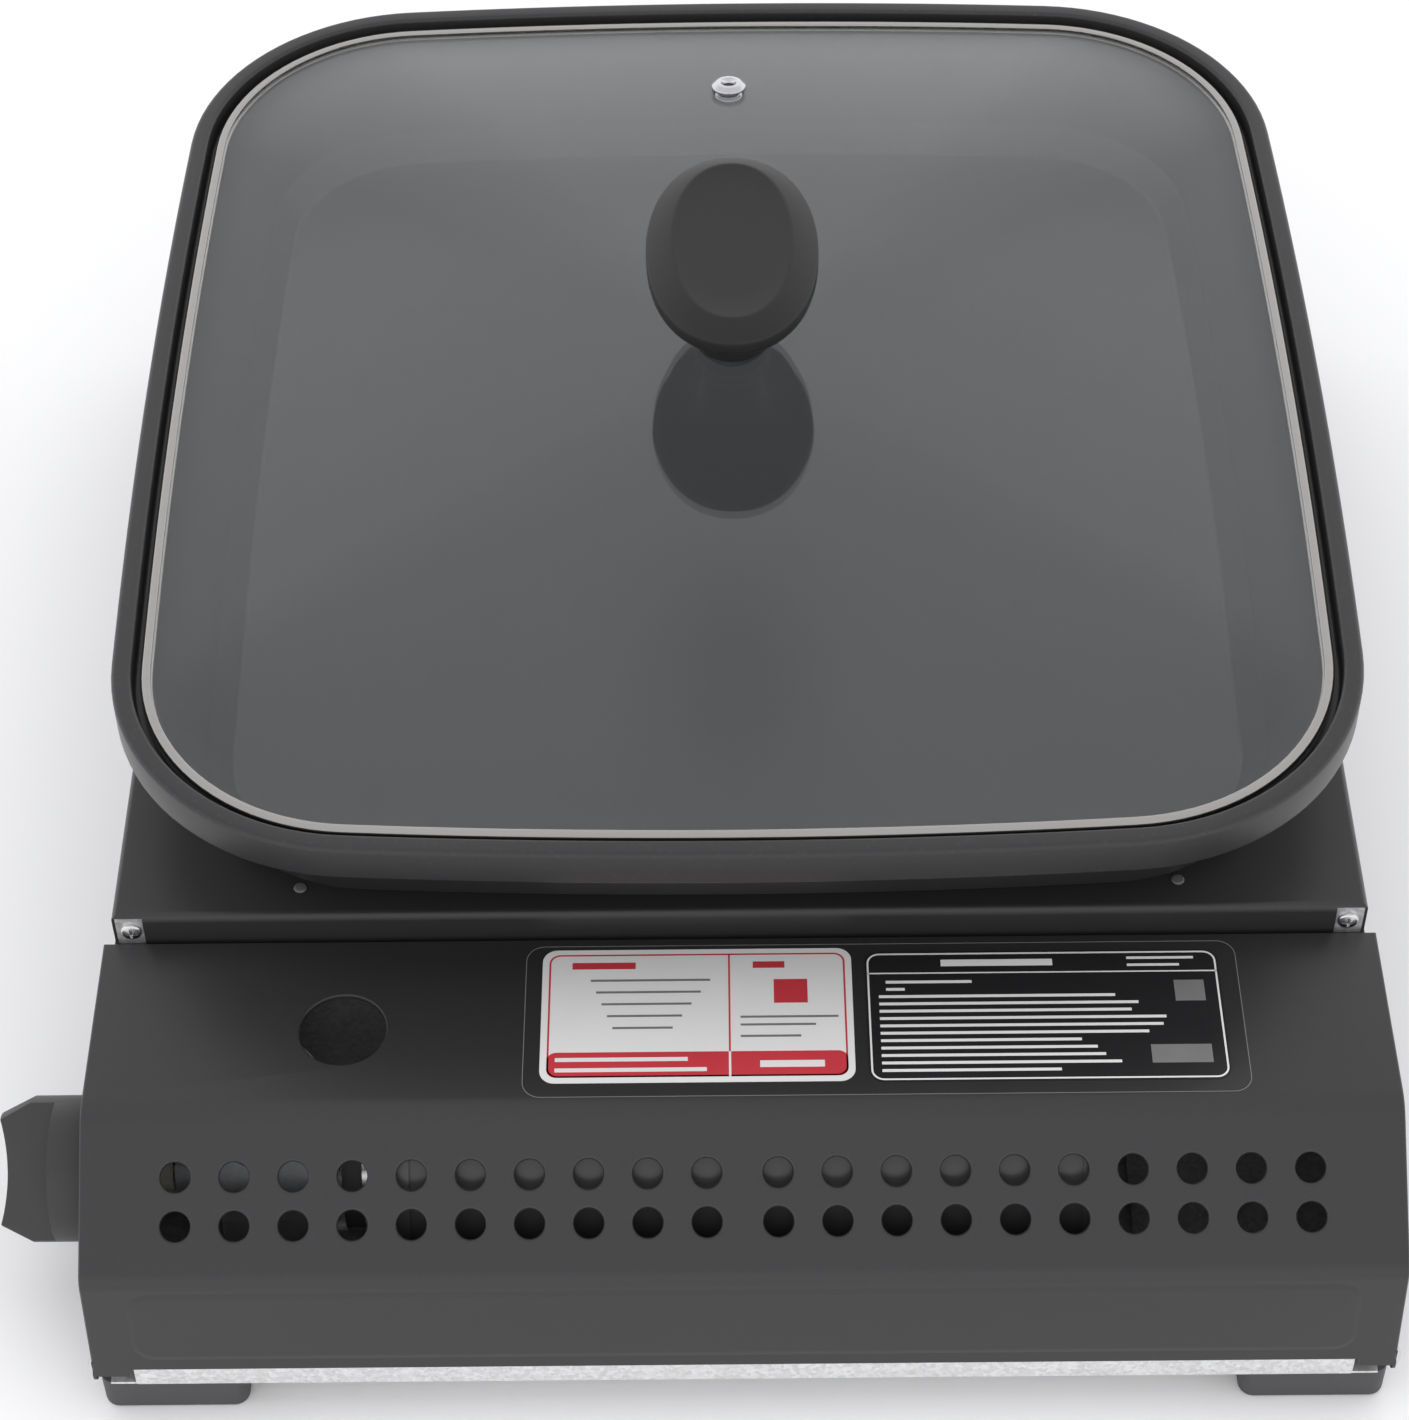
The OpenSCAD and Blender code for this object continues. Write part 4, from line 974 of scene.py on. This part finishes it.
    def rim(self, bm: BMesh, place: Matrix, radius: float, roll: float, segments: int) -> None:
        """One rolled edge.

        Args:
            bm: the mesh it is added to.
            place: the hole's middle on the sheet's outer face.
            radius: the hole's radius.
            roll: radius of the rolled edge.
            segments: steps round the hole.
        """
        r = radius + roll + 0.02
        corners = [(r, -SHEET), (r, 0.0), (radius, 0.0), (radius, -1.5), (radius + 0.5, -1.5),
                   (r, -SHEET)]
        line = rounded(corners, [0, 0, roll, 0.2, 0.2, 0], 5)[:-1]
        self.bench.lathe(bm, line, place, segments, closed=True)

    def pressing(self) -> None:
        """The long rounded panel pressed into the lower facet."""
        b = math.radians(self.lower_angle)
        low, high = self.panel_z
        face = Vector((0, *self.path[3]))
        up = Vector((0, math.cos(b), math.sin(b)))
        out = Vector((0, -math.sin(b), math.cos(b)))
        tall = (high - low) / math.sin(b)
        start = (low - self.ear_z) / math.sin(b)
        bm = bmesh.new()
        loops = []
        for inset, rise in ((0.0, -0.2), (0.0, 0.0), (0.6, 0.12), (1.3, 0.3), (2.0, 0.34)):
            x, r = self.panel_x - inset, 6.0 - inset
            t0, t1 = start + inset, start + tall - inset
            loop = []
            for cx, cy, a0 in ((x - r, t1 - r, 0), (-x + r, t1 - r, 90), (-x + r, t0 + r, 180),
                               (x - r, t0 + r, 270)):
                for k in range(9):
                    a = math.radians(a0 + 90 * k / 8)
                    spot = (cx + r * math.cos(a), cy + r * math.sin(a))
                    loop.append(face + Vector((spot[0], 0, 0)) + up * spot[1] + out * rise)
            loops.append(loop)
        self.bench.rings(bm, loops)
        self.bench.piece(bm, "cover_pressed_panel", "cover", BLACK_PAINT, "black_paint", sharp=60)

    def plate(self, name: str, x: Point, y: Point, corner: float, z: Point, finish: Finish,
              slot: str = "", replaces: Iterable[str] = (), hollow: float = 0.0) -> None:
        """A thin rounded plate stuck on the cover.

        Args:
            name: the piece's name.
            x: left and right edge.
            y: front and back edge.
            corner: corner radius.
            z: bottom and top, above the cover.
            finish: its finish.
            slot: its material slot.
            replaces: CAD nodes it stands for.
            hollow: leaves only a frame of this width, where it isn't 0.
        """

        def loop(inset: float, height: float) -> list[Vector]:
            """Draws a rounded rectangle inside the plate's edge.

            Args:
                inset: how far inside the edge it lies.
                height: how far above the cover it lies.

            Returns:
                The rectangle's points.
            """
            r = max(corner - inset, 0.05)
            points = []
            for cx, cy, a0 in ((x[1] - inset - r, y[1] - inset - r, 0), (x[0] + inset + r,
                               y[1] - inset - r, 90), (x[0] + inset + r, y[0] + inset + r, 180),
                               (x[1] - inset - r, y[0] + inset + r, 270)):
                for k in range(9):
                    a = math.radians(a0 + 90 * k / 8)
                    points.append(Vector((cx + r * math.cos(a), cy + r * math.sin(a),
                                          self.height + height)))
            return points

        bm = bmesh.new()
        if hollow:
            loops = [loop(0, z[0]), loop(0, z[1]), loop(hollow, z[1]), loop(hollow, z[0])]
            self.bench.rings(bm, loops, cap=False, closed=True)
        else:
            self.bench.rings(bm, [loop(0, z[0]), loop(0, z[1])])
        self.bench.piece(bm, name, "cover", finish, slot, replaces)

    def labels(self) -> None:
        """Stickers with plain bars and blocks, the clear film that covers them, and a painted
        highlight round the film's edge.
        """
        self.plate("label_film", (-57.5, 133.5), (-54.5, -4.0), 5.0, (0.0, 0.06), LABEL_FILM,
                   "label_dark")
        # A thin grey ring round the film is a painted highlight: the light line that the clear
        # film's cut edge catches.
        self.plate("label_film_edge_painted_highlight", (-57.5, 133.5), (-54.5, -4.0), 5.0, (0.05, 0.09), LABEL_GREY,
                   hollow=0.22)
        self.pale_label()
        self.dark_label()

    def pale_label(self) -> None:
        """The pale sticker: a red frame, a divider, a red foot, and bars and blocks."""
        x, y = (-53.0, 30.0), (-50.0, -5.5)
        split, foot = -2.9, -40.0
        self.plate("label_pale_plate", x, y, 4.0, (0.05, 0.16), LABEL_PALE, "label_pale",
                   ["label_white"])
        inner_x, inner_y = (x[0] + 1.8, x[1] - 1.8), (y[0] + 1.8, y[1] - 1.6)
        self.plate("label_pale_frame", inner_x, inner_y, 3.0, (0.15, 0.2), LABEL_RED, hollow=0.5)
        self.plate("label_pale_foot", inner_x, (inner_y[0], foot), 2.6, (0.15, 0.2), LABEL_RED)
        self.plate("label_pale_divider", (split - 0.25, split + 0.25), (foot, inner_y[1]), 0.05,
                   (0.15, 0.2), LABEL_RED)
        self.plate("label_pale_foot_divider", (split - 0.3, split + 0.3), (inner_y[0], foot),
                   0.05, (0.18, 0.22), LABEL_PALE)
        self.bars("label_pale_heads", [(-45.0, -28.0, -11.0, 2.2), (3.5, 12.0, -11.0, 2.2)],
                  LABEL_RED)
        rows = [(-40 + 1.5 * k, -8 - 2.5 * k, -16.0 - 4.0 * k, 0.7) for k in range(5)]
        rows += [(0.0, 26.0, -28.6, 0.7), (0.0, 20.0, -31.2, 0.7), (0.0, 16.0, -35.0, 0.7)]
        self.bars("label_pale_bars", rows, LABEL_GREY)
        self.bars("label_pale_block", [(9.0, 18.0, -20.0, 8.0)], LABEL_RED)
        self.bars("label_pale_foot_bars", [(-49.0, -14.0, -42.4, 1.3), (-49.0, -9.0, -45.8, 1.3),
                                           (5.0, 22.0, -44.2, 2.2)], LABEL_PALE)

    def dark_label(self) -> None:
        """The dark sticker: a pale frame, a rule under its head, and rows of bars."""
        x, y = (33.5, 128.5), (-50.5, -7.0)
        self.plate("label_dark_plate", x, y, 4.0, (0.05, 0.16), LABEL_DARK, "label_dark",
                   ["label_black"])
        inner_x = (x[0] + 0.6, x[1] - 0.6)
        self.plate("label_dark_frame", inner_x, (y[0] + 0.6, y[1] - 0.6), 3.4, (0.15, 0.2),
                   LABEL_PALE, hollow=0.5)
        self.plate("label_dark_rule", inner_x, (-14.6, -14.2), 0.1, (0.15, 0.2), LABEL_PALE)
        rows = [(54.0, 84.0, -11.0, 2.2), (104.0, 122.0, -9.8, 0.8), (104.0, 118.0, -12.2, 0.8)]
        reach = (62, 44, 100, 106, 104, 113, 112, 108, 90, 94, 96, 100, 84)
        rows += [(37.0 if k > 1 else 39.0, float(end), -17.4 - 2.45 * k, 0.9)
                 for k, end in enumerate(reach)]
        self.bars("label_dark_bars", rows, LABEL_PALE)
        self.bars("label_dark_blocks", [(116.0, 124.0, -21.0, 7.0), (108.0, 124.0, -42.0, 6.0)],
                  LABEL_GREY)

    def bars(self, name: str, rows: Sequence[tuple[float, float, float, float]],
             finish: Finish) -> None:
        """Printed bars on a sticker.

        Args:
            name: the piece's name.
            rows: each bar's left, right, middle height on the sticker and thickness.
            finish: their finish.
        """
        bm = bmesh.new()
        for left, right, y, tall in rows:
            self.bench.box(bm, (left, y - tall / 2, self.height + 0.15),
                           (right, y + tall / 2, self.height + 0.21))
        self.bench.piece(bm, name, "cover", finish)


@dataclass
class Shell:
    """The folded body shell: top plate, step, sides, back and the bay's end panels."""

    bench: Bench
    cover: Cover
    half_w: float = 169.7
    depth: float = 332.0
    top: float = 89.5
    foot: float = 12.5
    notch_w: float = 8.5
    notch_h: float = 11.0
    well: Point = (226.0, 250.0)
    well_r: float = 18.0
    burner_y: float = 161.5
    knob_at: Point = (-49.5, 44.0)
    fold: float = 2.4
    foot_out: float = 2.4

    def build(self) -> None:
        """Builds and dresses the shell, its end panels, the tray's rolled edge and the feet."""
        self.housing()
        self.bay_ends()
        self.front_roll()
        self.feet()

    def housing(self) -> None:
        """The burner housing, open below, with its opening, notches, louvres and slots."""
        bm = bmesh.new()
        w, d = self.half_w, self.depth
        self.bench.box(bm, (-w, 0, self.foot), (w, d, self.top))
        floor = [f for f in bm.faces if f.normal.z < -0.5]
        bmesh.ops.delete(bm, geom=floor, context="FACES_ONLY")
        top = [e for e in bm.edges if all(abs(v.co.z - self.top) < 1e-3 for v in e.verts)]
        posts = [e for e in bm.edges if all(v.co.y > d - 1e-3 for v in e.verts)
                 and abs(e.verts[0].co.z - e.verts[1].co.z) > 1]
        bmesh.ops.bevel(bm, geom=top + posts, offset=self.fold, segments=5, affect="EDGES",
                        profile=0.5, material=-1)
        bm = self.bench.thickened(bm, SHEET)
        cutter = bmesh.new()
        self.opening(cutter)
        inner = w - SHEET
        step = self.cover.height - 14.0
        self.bench.box(cutter, (-inner, -2, self.foot - 2), (inner, SHEET + 0.4, step))
        for side in (-1, 1):
            a, b = sorted((side * (w - self.notch_w), side * (w + 2)))
            self.bench.box(cutter, (a, -2, self.top - SHEET - self.notch_h),
                           (b, SHEET + 0.3, self.top - SHEET - 0.2))
            for k in range(9):
                y = 90 + 20 * k
                self.bench.box(cutter, (side * w - 3, y - 6, self.top - 32),
                               (side * w + 3, y + 6, self.top - 29))
        louvres = [(x, self.top - drop) for x in range(-120, 121, 20) for drop in (30, 42)]
        for x, z in louvres:
            self.bench.box(cutter, (x - 7, d - 3, z), (x + 7, d + 3, z + 3))
        bm = self.bench.carved(bm, cutter)
        self.bench.piece(bm, "shell_housing", "base", BLACK_PAINT, "black_paint", ["body_shell"],
                         sharp=28)
        bm = bmesh.new()
        for x, z in louvres:
            self.bench.box(bm, (x - 7.5, d - 1.6, z + 2.2), (x + 7.5, d, z + 3.4))
        self.bench.piece(bm, "shell_louvre_hoods", "base", BLACK_PAINT, "black_paint")

    def opening(self, cutter: BMesh) -> None:
        """Adds the top plate's rounded opening.

        Args:
            cutter: the shape it is added to.
        """
        x, y = self.well[0] / 2, self.well[1] / 2
        r = self.well_r
        loop = []
        for cx, cy, a0 in ((x - r, y - r, 0), (-x + r, y - r, 90), (-x + r, -y + r, 180),
                           (x - r, -y + r, 270)):
            for k in range(11):
                a = math.radians(a0 + 9 * k)
                loop.append((cx + r * math.cos(a), self.burner_y + cy + r * math.sin(a),
                             self.top - 3))
        self.bench.slab(cutter, loop, Vector((0, 0, 6)))

    def bay_ends(self) -> None:
        """The side panels' ends under the cover, with their edge turned to follow it."""
        low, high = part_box("hinge_rivets")
        pin = (((low.y + high.y) / 2 - self.bench.datum.y) / MM, (low.z + high.z) / 2 / MM)
        line = [p for p in self.cover.line(SHEET + 1.0) if p[1] > pin[1] + 1]
        line += [(self.cover.path[3][0] + 1.9, pin[1] + 0.5), (pin[0] - 1.25, pin[1] - 2.1),
                 (pin[0] + 1.95, pin[1] - 2.1), (pin[0] + 1.95, self.foot), (1.5, self.foot),
                 (1.5, line[0][1])]
        bm = bmesh.new()
        for side in (-1, 1):
            x = side * (self.half_w - SHEET)
            self.bench.slab(bm, [(x, y, z) for y, z in line], Vector((side * SHEET, 0, 0)))
        cutter = bmesh.new()
        y, z = self.knob_at
        self.bench.rod(cutter, (-self.half_w - 2, y, z), (-self.half_w + 2, y, z), 5.0, 40)
        bm = self.bench.carved(bm, cutter)
        self.bench.piece(bm, "shell_bay_ends", "base", BLACK_PAINT, "black_paint")

    def front_roll(self) -> None:
        """The tray's bare front edge, rolled forward under the cover."""
        low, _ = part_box("base_tray")
        y = (low.y - self.bench.datum.y) / MM
        foot, top = self.foot, self.cover.edge_z - 0.6
        # The open cover's lower edge passes 0.75 mm in front of the tray.
        corners = [(y + 0.4, foot - 0.2), (y - 0.5, foot + 0.4), (y - 0.6, foot + 4.0),
                   (y - 0.45, top), (y + 0.4, top)]
        line = rounded(corners, [0, 0.6, 3, 0.5, 0], 5)
        bm = bmesh.new()
        x = self.cover.cut - 0.7
        self.bench.slab(bm, [(-x, a, b) for a, b in line], Vector((2 * x, 0, 0)))
        bm = self.bench.softened(bm, 0.5, 2, 60)
        self.bench.piece(bm, "tray_front_roll", "base", ZINC_COAT, "galvanised")

    def feet(self) -> None:
        """Four moulded feet with rounded corners and a screw well below."""
        bm = bmesh.new()
        long, deep = 39.0, 22.0
        front = self.cover.path[3][0] + 2.4 + deep / 2
        for side in (-1, 1):
            for y in (front, self.depth - 8 - deep / 2):
                x = side * (self.half_w + self.foot_out - long / 2)
                verts = self.bench.box(bm, (x - long / 2, y - deep / 2, 0),
                                       (x + long / 2, y + deep / 2, self.foot))
                own = set(verts)
                tall = [e for e in bm.edges if set(e.verts) <= own
                        and abs(e.verts[0].co.z - e.verts[1].co.z) > 1]
                bmesh.ops.bevel(bm, geom=tall, offset=4.0, segments=6, affect="EDGES", profile=0.5,
                                material=-1)
        low = [e for e in bm.edges
               if all(v.co.z < 1e-3 for v in e.verts) and len(e.link_faces) == 2]
        bmesh.ops.bevel(bm, geom=low, offset=1.4, segments=3, affect="EDGES", profile=0.5,
                        material=-1)
        cutter = bmesh.new()
        for side in (-1, 1):
            for y in (front, self.depth - 8 - deep / 2):
                x = side * (self.half_w + self.foot_out - long / 2)
                self.bench.rod(cutter, (x, y, -2), (x, y, self.foot - 4), 4.2, 32)
        bm = self.bench.carved(bm, cutter)
        self.bench.piece(bm, "moulded_feet", "base", RUBBER, "foot_rubber", ["feet"])


@dataclass
class GasKnob:
    """The control knob on the body's left side."""

    bench: Bench
    face_x: float = -172.9
    length: float = 25.8
    radius: float = 19.6
    at: Point = (-49.5, 44.0)
    grip: float = 13.0
    grip_l: float = 15.0
    chamfer: Point = (8.6, 4.3)
    scoop: float = 2.2
    lean: float = 47.0

    def build(self) -> None:
        """Builds and dresses the knob."""
        y, z = self.at
        tip = self.face_x - self.length
        place = Matrix.Translation((self.face_x, y, z)) @ Matrix.Rotation(-math.pi / 2, 4, "Y")
        side, cut = self.chamfer
        line = [(0.0, 0.0), (self.radius, 0.0), (self.radius, self.length - side),
                (self.radius - cut, self.length), (0.0, self.length)]
        bm = bmesh.new()
        self.bench.lathe(bm, line, place, 96)
        cutter = bmesh.new()
        r = self.radius
        for s in (-1, 1):
            a, b = sorted((s * self.grip / 2, s * (r + 5)))
            self.bench.box(cutter, (tip - 2, a, -r - 2), (tip + self.grip_l, b, r + 2))
        flat = r - cut
        arc = (flat * flat + self.scoop ** 2) / (2 * self.scoop)
        x = tip + self.scoop - arc
        self.bench.rod(cutter, (x, -r, 0), (x, r, 0), arc, 160)
        lean = Matrix.Translation((0, y, z)) @ Matrix.Rotation(-math.radians(self.lean), 4, "X")
        bmesh.ops.transform(cutter, matrix=lean, verts=cutter.verts)
        bm = self.bench.carved(bm, cutter)
        bmesh.ops.dissolve_limit(bm, angle_limit=math.radians(0.4), verts=bm.verts, edges=bm.edges)
        bm = self.bench.softened(bm, 0.9, 3, 35)
        self.bench.piece(bm, "control_knob", "knob", KNOB_PLASTIC, "knob_plastic", ["gas_knob"],
                         sharp=40)


@dataclass
class Fixings:
    """Screw heads and rivets that show."""

    bench: Bench
    head_r: float = 2.9
    head_h: float = 1.9

    def build(self) -> None:
        """Builds the two corner screws and the two rivets on the top plate."""
        low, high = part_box("corner_screws")
        datum = self.bench.datum
        z = (low.z + high.z) / 2 / MM
        x = (high.x - datum.x) / MM - self.head_r
        bm = bmesh.new()
        for side in (-1, 1):
            self.head(bm, Matrix.Translation((side * x, SHEET, z))
                      @ Matrix.Rotation(math.pi / 2, 4, "X"))
        self.bench.piece(bm, "step_corner_screws", "base", ZINC_PLATE, "zinc_steel",
                         ["corner_screws"])
        self.dots()

    def dots(self) -> None:
        """The two dull rivets on the top plate under the pan's front edge."""
        low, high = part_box("shell_rivets")
        datum = self.bench.datum
        x = (high.x - low.x) / 2 / MM - 1.9
        y = ((low.y + high.y) / 2 - datum.y) / MM
        top = high.z / MM
        bm = bmesh.new()
        line = rounded([(0.0, top - 3.0), (1.0, top - 3.0), (1.0, top - 0.7), (1.9, top - 0.7),
                        (1.5, top - 0.15), (0.0, top)], [0, 0, 0, 0.1, 0.4, 0], 5)
        for side in (-1, 1):
            self.bench.lathe(bm, line, Matrix.Translation((side * x, y, 0)), 32)
        self.bench.piece(bm, "plate_rivets", "base", DULL_RIVET, "black_paint", ["shell_rivets"])

    def head(self, bm: BMesh, place: Matrix) -> None:
        """Adds one domed head with a cross recess.

        Args:
            bm: the shape it is added to.
            place: where the head sits; it points out along +Z of this place.
        """
        r, h = self.head_r, self.head_h
        line = rounded([(0.0, -4.0), (1.4, -4.0), (1.4, 0.0), (r, 0.0), (r, h * 0.45), (0.0, h)],
                       [0, 0.2, 0, 0.15, 0.9, 0], 5)
        made = bmesh.new()
        self.bench.lathe(made, line, Matrix.Identity(4), 40)
        cutter = bmesh.new()
        self.bench.box(cutter, (-r * 0.6, -0.35, h * 0.35), (r * 0.6, 0.35, h + 1))
        self.bench.box(cutter, (-0.35, -r * 0.6, h * 0.35), (0.35, r * 0.6, h + 1))
        made = self.bench.carved(made, cutter)
        bmesh.ops.transform(made, matrix=place, verts=made.verts)
        mesh = bpy.data.meshes.new("head")
        made.to_mesh(mesh)
        made.free()
        bm.from_mesh(mesh)
        bpy.data.meshes.remove(mesh)


@dataclass
class Studio:
    """Camera, floor and soft lights."""

    bench: Bench
    stand: tuple[float, float, float] = (-4.83, -599.73, 817.93)
    elevation: float = 47.217
    yaw: float = -0.358
    roll: float = -0.816
    lens: float = 88.664
    sky: Point = (1.3, 0.86)

    def camera(self) -> None:
        """Sets up the camera."""
        data = bpy.data.cameras.new("camera")
        data.lens, data.sensor_width = self.lens, 36.0
        cam = bpy.data.objects.new("camera", data)
        bpy.context.scene.collection.objects.link(cam)
        turn = (Matrix.Rotation(-math.radians(self.yaw), 4, "Z")
                @ Matrix.Rotation(math.radians(90 - self.elevation), 4, "X")
                @ Matrix.Rotation(math.radians(self.roll), 4, "Z"))
        place = self.bench.datum + Vector(self.stand) * MM
        cam.matrix_world = Matrix.Translation(place) @ turn
        data.clip_start, data.clip_end = 0.05, 50.0
        bpy.context.scene.camera = cam

    def floor(self) -> None:
        """Lays a wide pale floor."""
        bm = bmesh.new()
        bmesh.ops.create_grid(bm, x_segments=1, y_segments=1, size=6.0)
        mesh = bpy.data.meshes.new("studio_floor")
        bm.to_mesh(mesh)
        bm.free()
        obj = bpy.data.objects.new("studio_floor", mesh)
        bpy.context.scene.collection.objects.link(obj)
        mesh.materials.append(FLOOR_PAPER.material())

    def lamp(self, name: str, at: Sequence[float], aim: Sequence[float], size: Point,
             power: float) -> None:
        """Hangs one soft box.

        Args:
            name: the lamp's name.
            at: where it hangs.
            aim: what it points at.
            size: its width and height.
            power: its power in watts.
        """
        data = bpy.data.lights.new(name, "AREA")
        data.shape, data.size, data.size_y = "RECTANGLE", size[0], size[1]
        data.energy = power
        lamp = bpy.data.objects.new(name, data)
        bpy.context.scene.collection.objects.link(lamp)
        lamp.location = at
        lamp.visible_glossy = lamp.visible_transmission = False
        lamp.rotation_euler = (Vector(aim) - Vector(at)).to_track_quat("-Z", "Y").to_euler()

    def build(self) -> None:
        """Sets up camera, floor, surroundings and lamps."""
        self.camera()
        self.floor()
        world = bpy.data.worlds.new("studio")
        world.use_nodes = True
        tree = world.node_tree
        back = tree.nodes["Background"]
        back.inputs["Color"].default_value = (0.98, 0.98, 1.0, 1.0)
        place = tree.nodes.new("ShaderNodeTexCoord")
        split = tree.nodes.new("ShaderNodeSeparateXYZ")
        fade = tree.nodes.new("ShaderNodeMapRange")
        fade.interpolation_type = "SMOOTHSTEP"
        fade.inputs["From Min"].default_value, fade.inputs["From Max"].default_value = 0.25, 0.78
        fade.inputs["To Min"].default_value, fade.inputs["To Max"].default_value = self.sky
        tree.links.new(place.outputs["Generated"], split.inputs["Vector"])
        tree.links.new(split.outputs["Z"], fade.inputs["Value"])
        tree.links.new(fade.outputs["Result"], back.inputs["Strength"])
        scene = bpy.context.scene
        scene.world = world
        scene.view_settings.view_transform = "Standard"
        aim = (0.0, 0.0, 0.08)
        self.lamp("top_box", (0.0, 0.1, 2.0), aim, (1.8, 1.6), 9.0)
        self.lamp("front_box", (-0.2, -1.7, 1.7), aim, (1.8, 1.2), 6.5)


def dress_frame() -> None:
    """Gives every CAD node that stays shown the finish of its slot."""
    for row in frame["record"]["subparts"]:
        node = frame["nodes"][row["node"]]
        if node.hide_render:
            continue
        finish = SLOT_FINISH[row["material_slot"]]
        for slot in node.material_slots:
            slot.material = finish.material()
        LOG.info("%s keeps its own mesh, in %s", row["node"], finish.name)


def main() -> None:
    """Builds the whole scene."""
    bench = Bench()
    pan = Pan(bench)
    cover = Cover(bench)
    Studio(bench).build()
    pan.build()
    Lid(bench, pan).build()
    cover.build()
    Shell(bench, cover).build()
    GasKnob(bench).build()
    Fixings(bench).build()
    dress_frame()


if __name__ == "__main__":
    logging.basicConfig(level=logging.INFO, format="%(message)s")
    main()
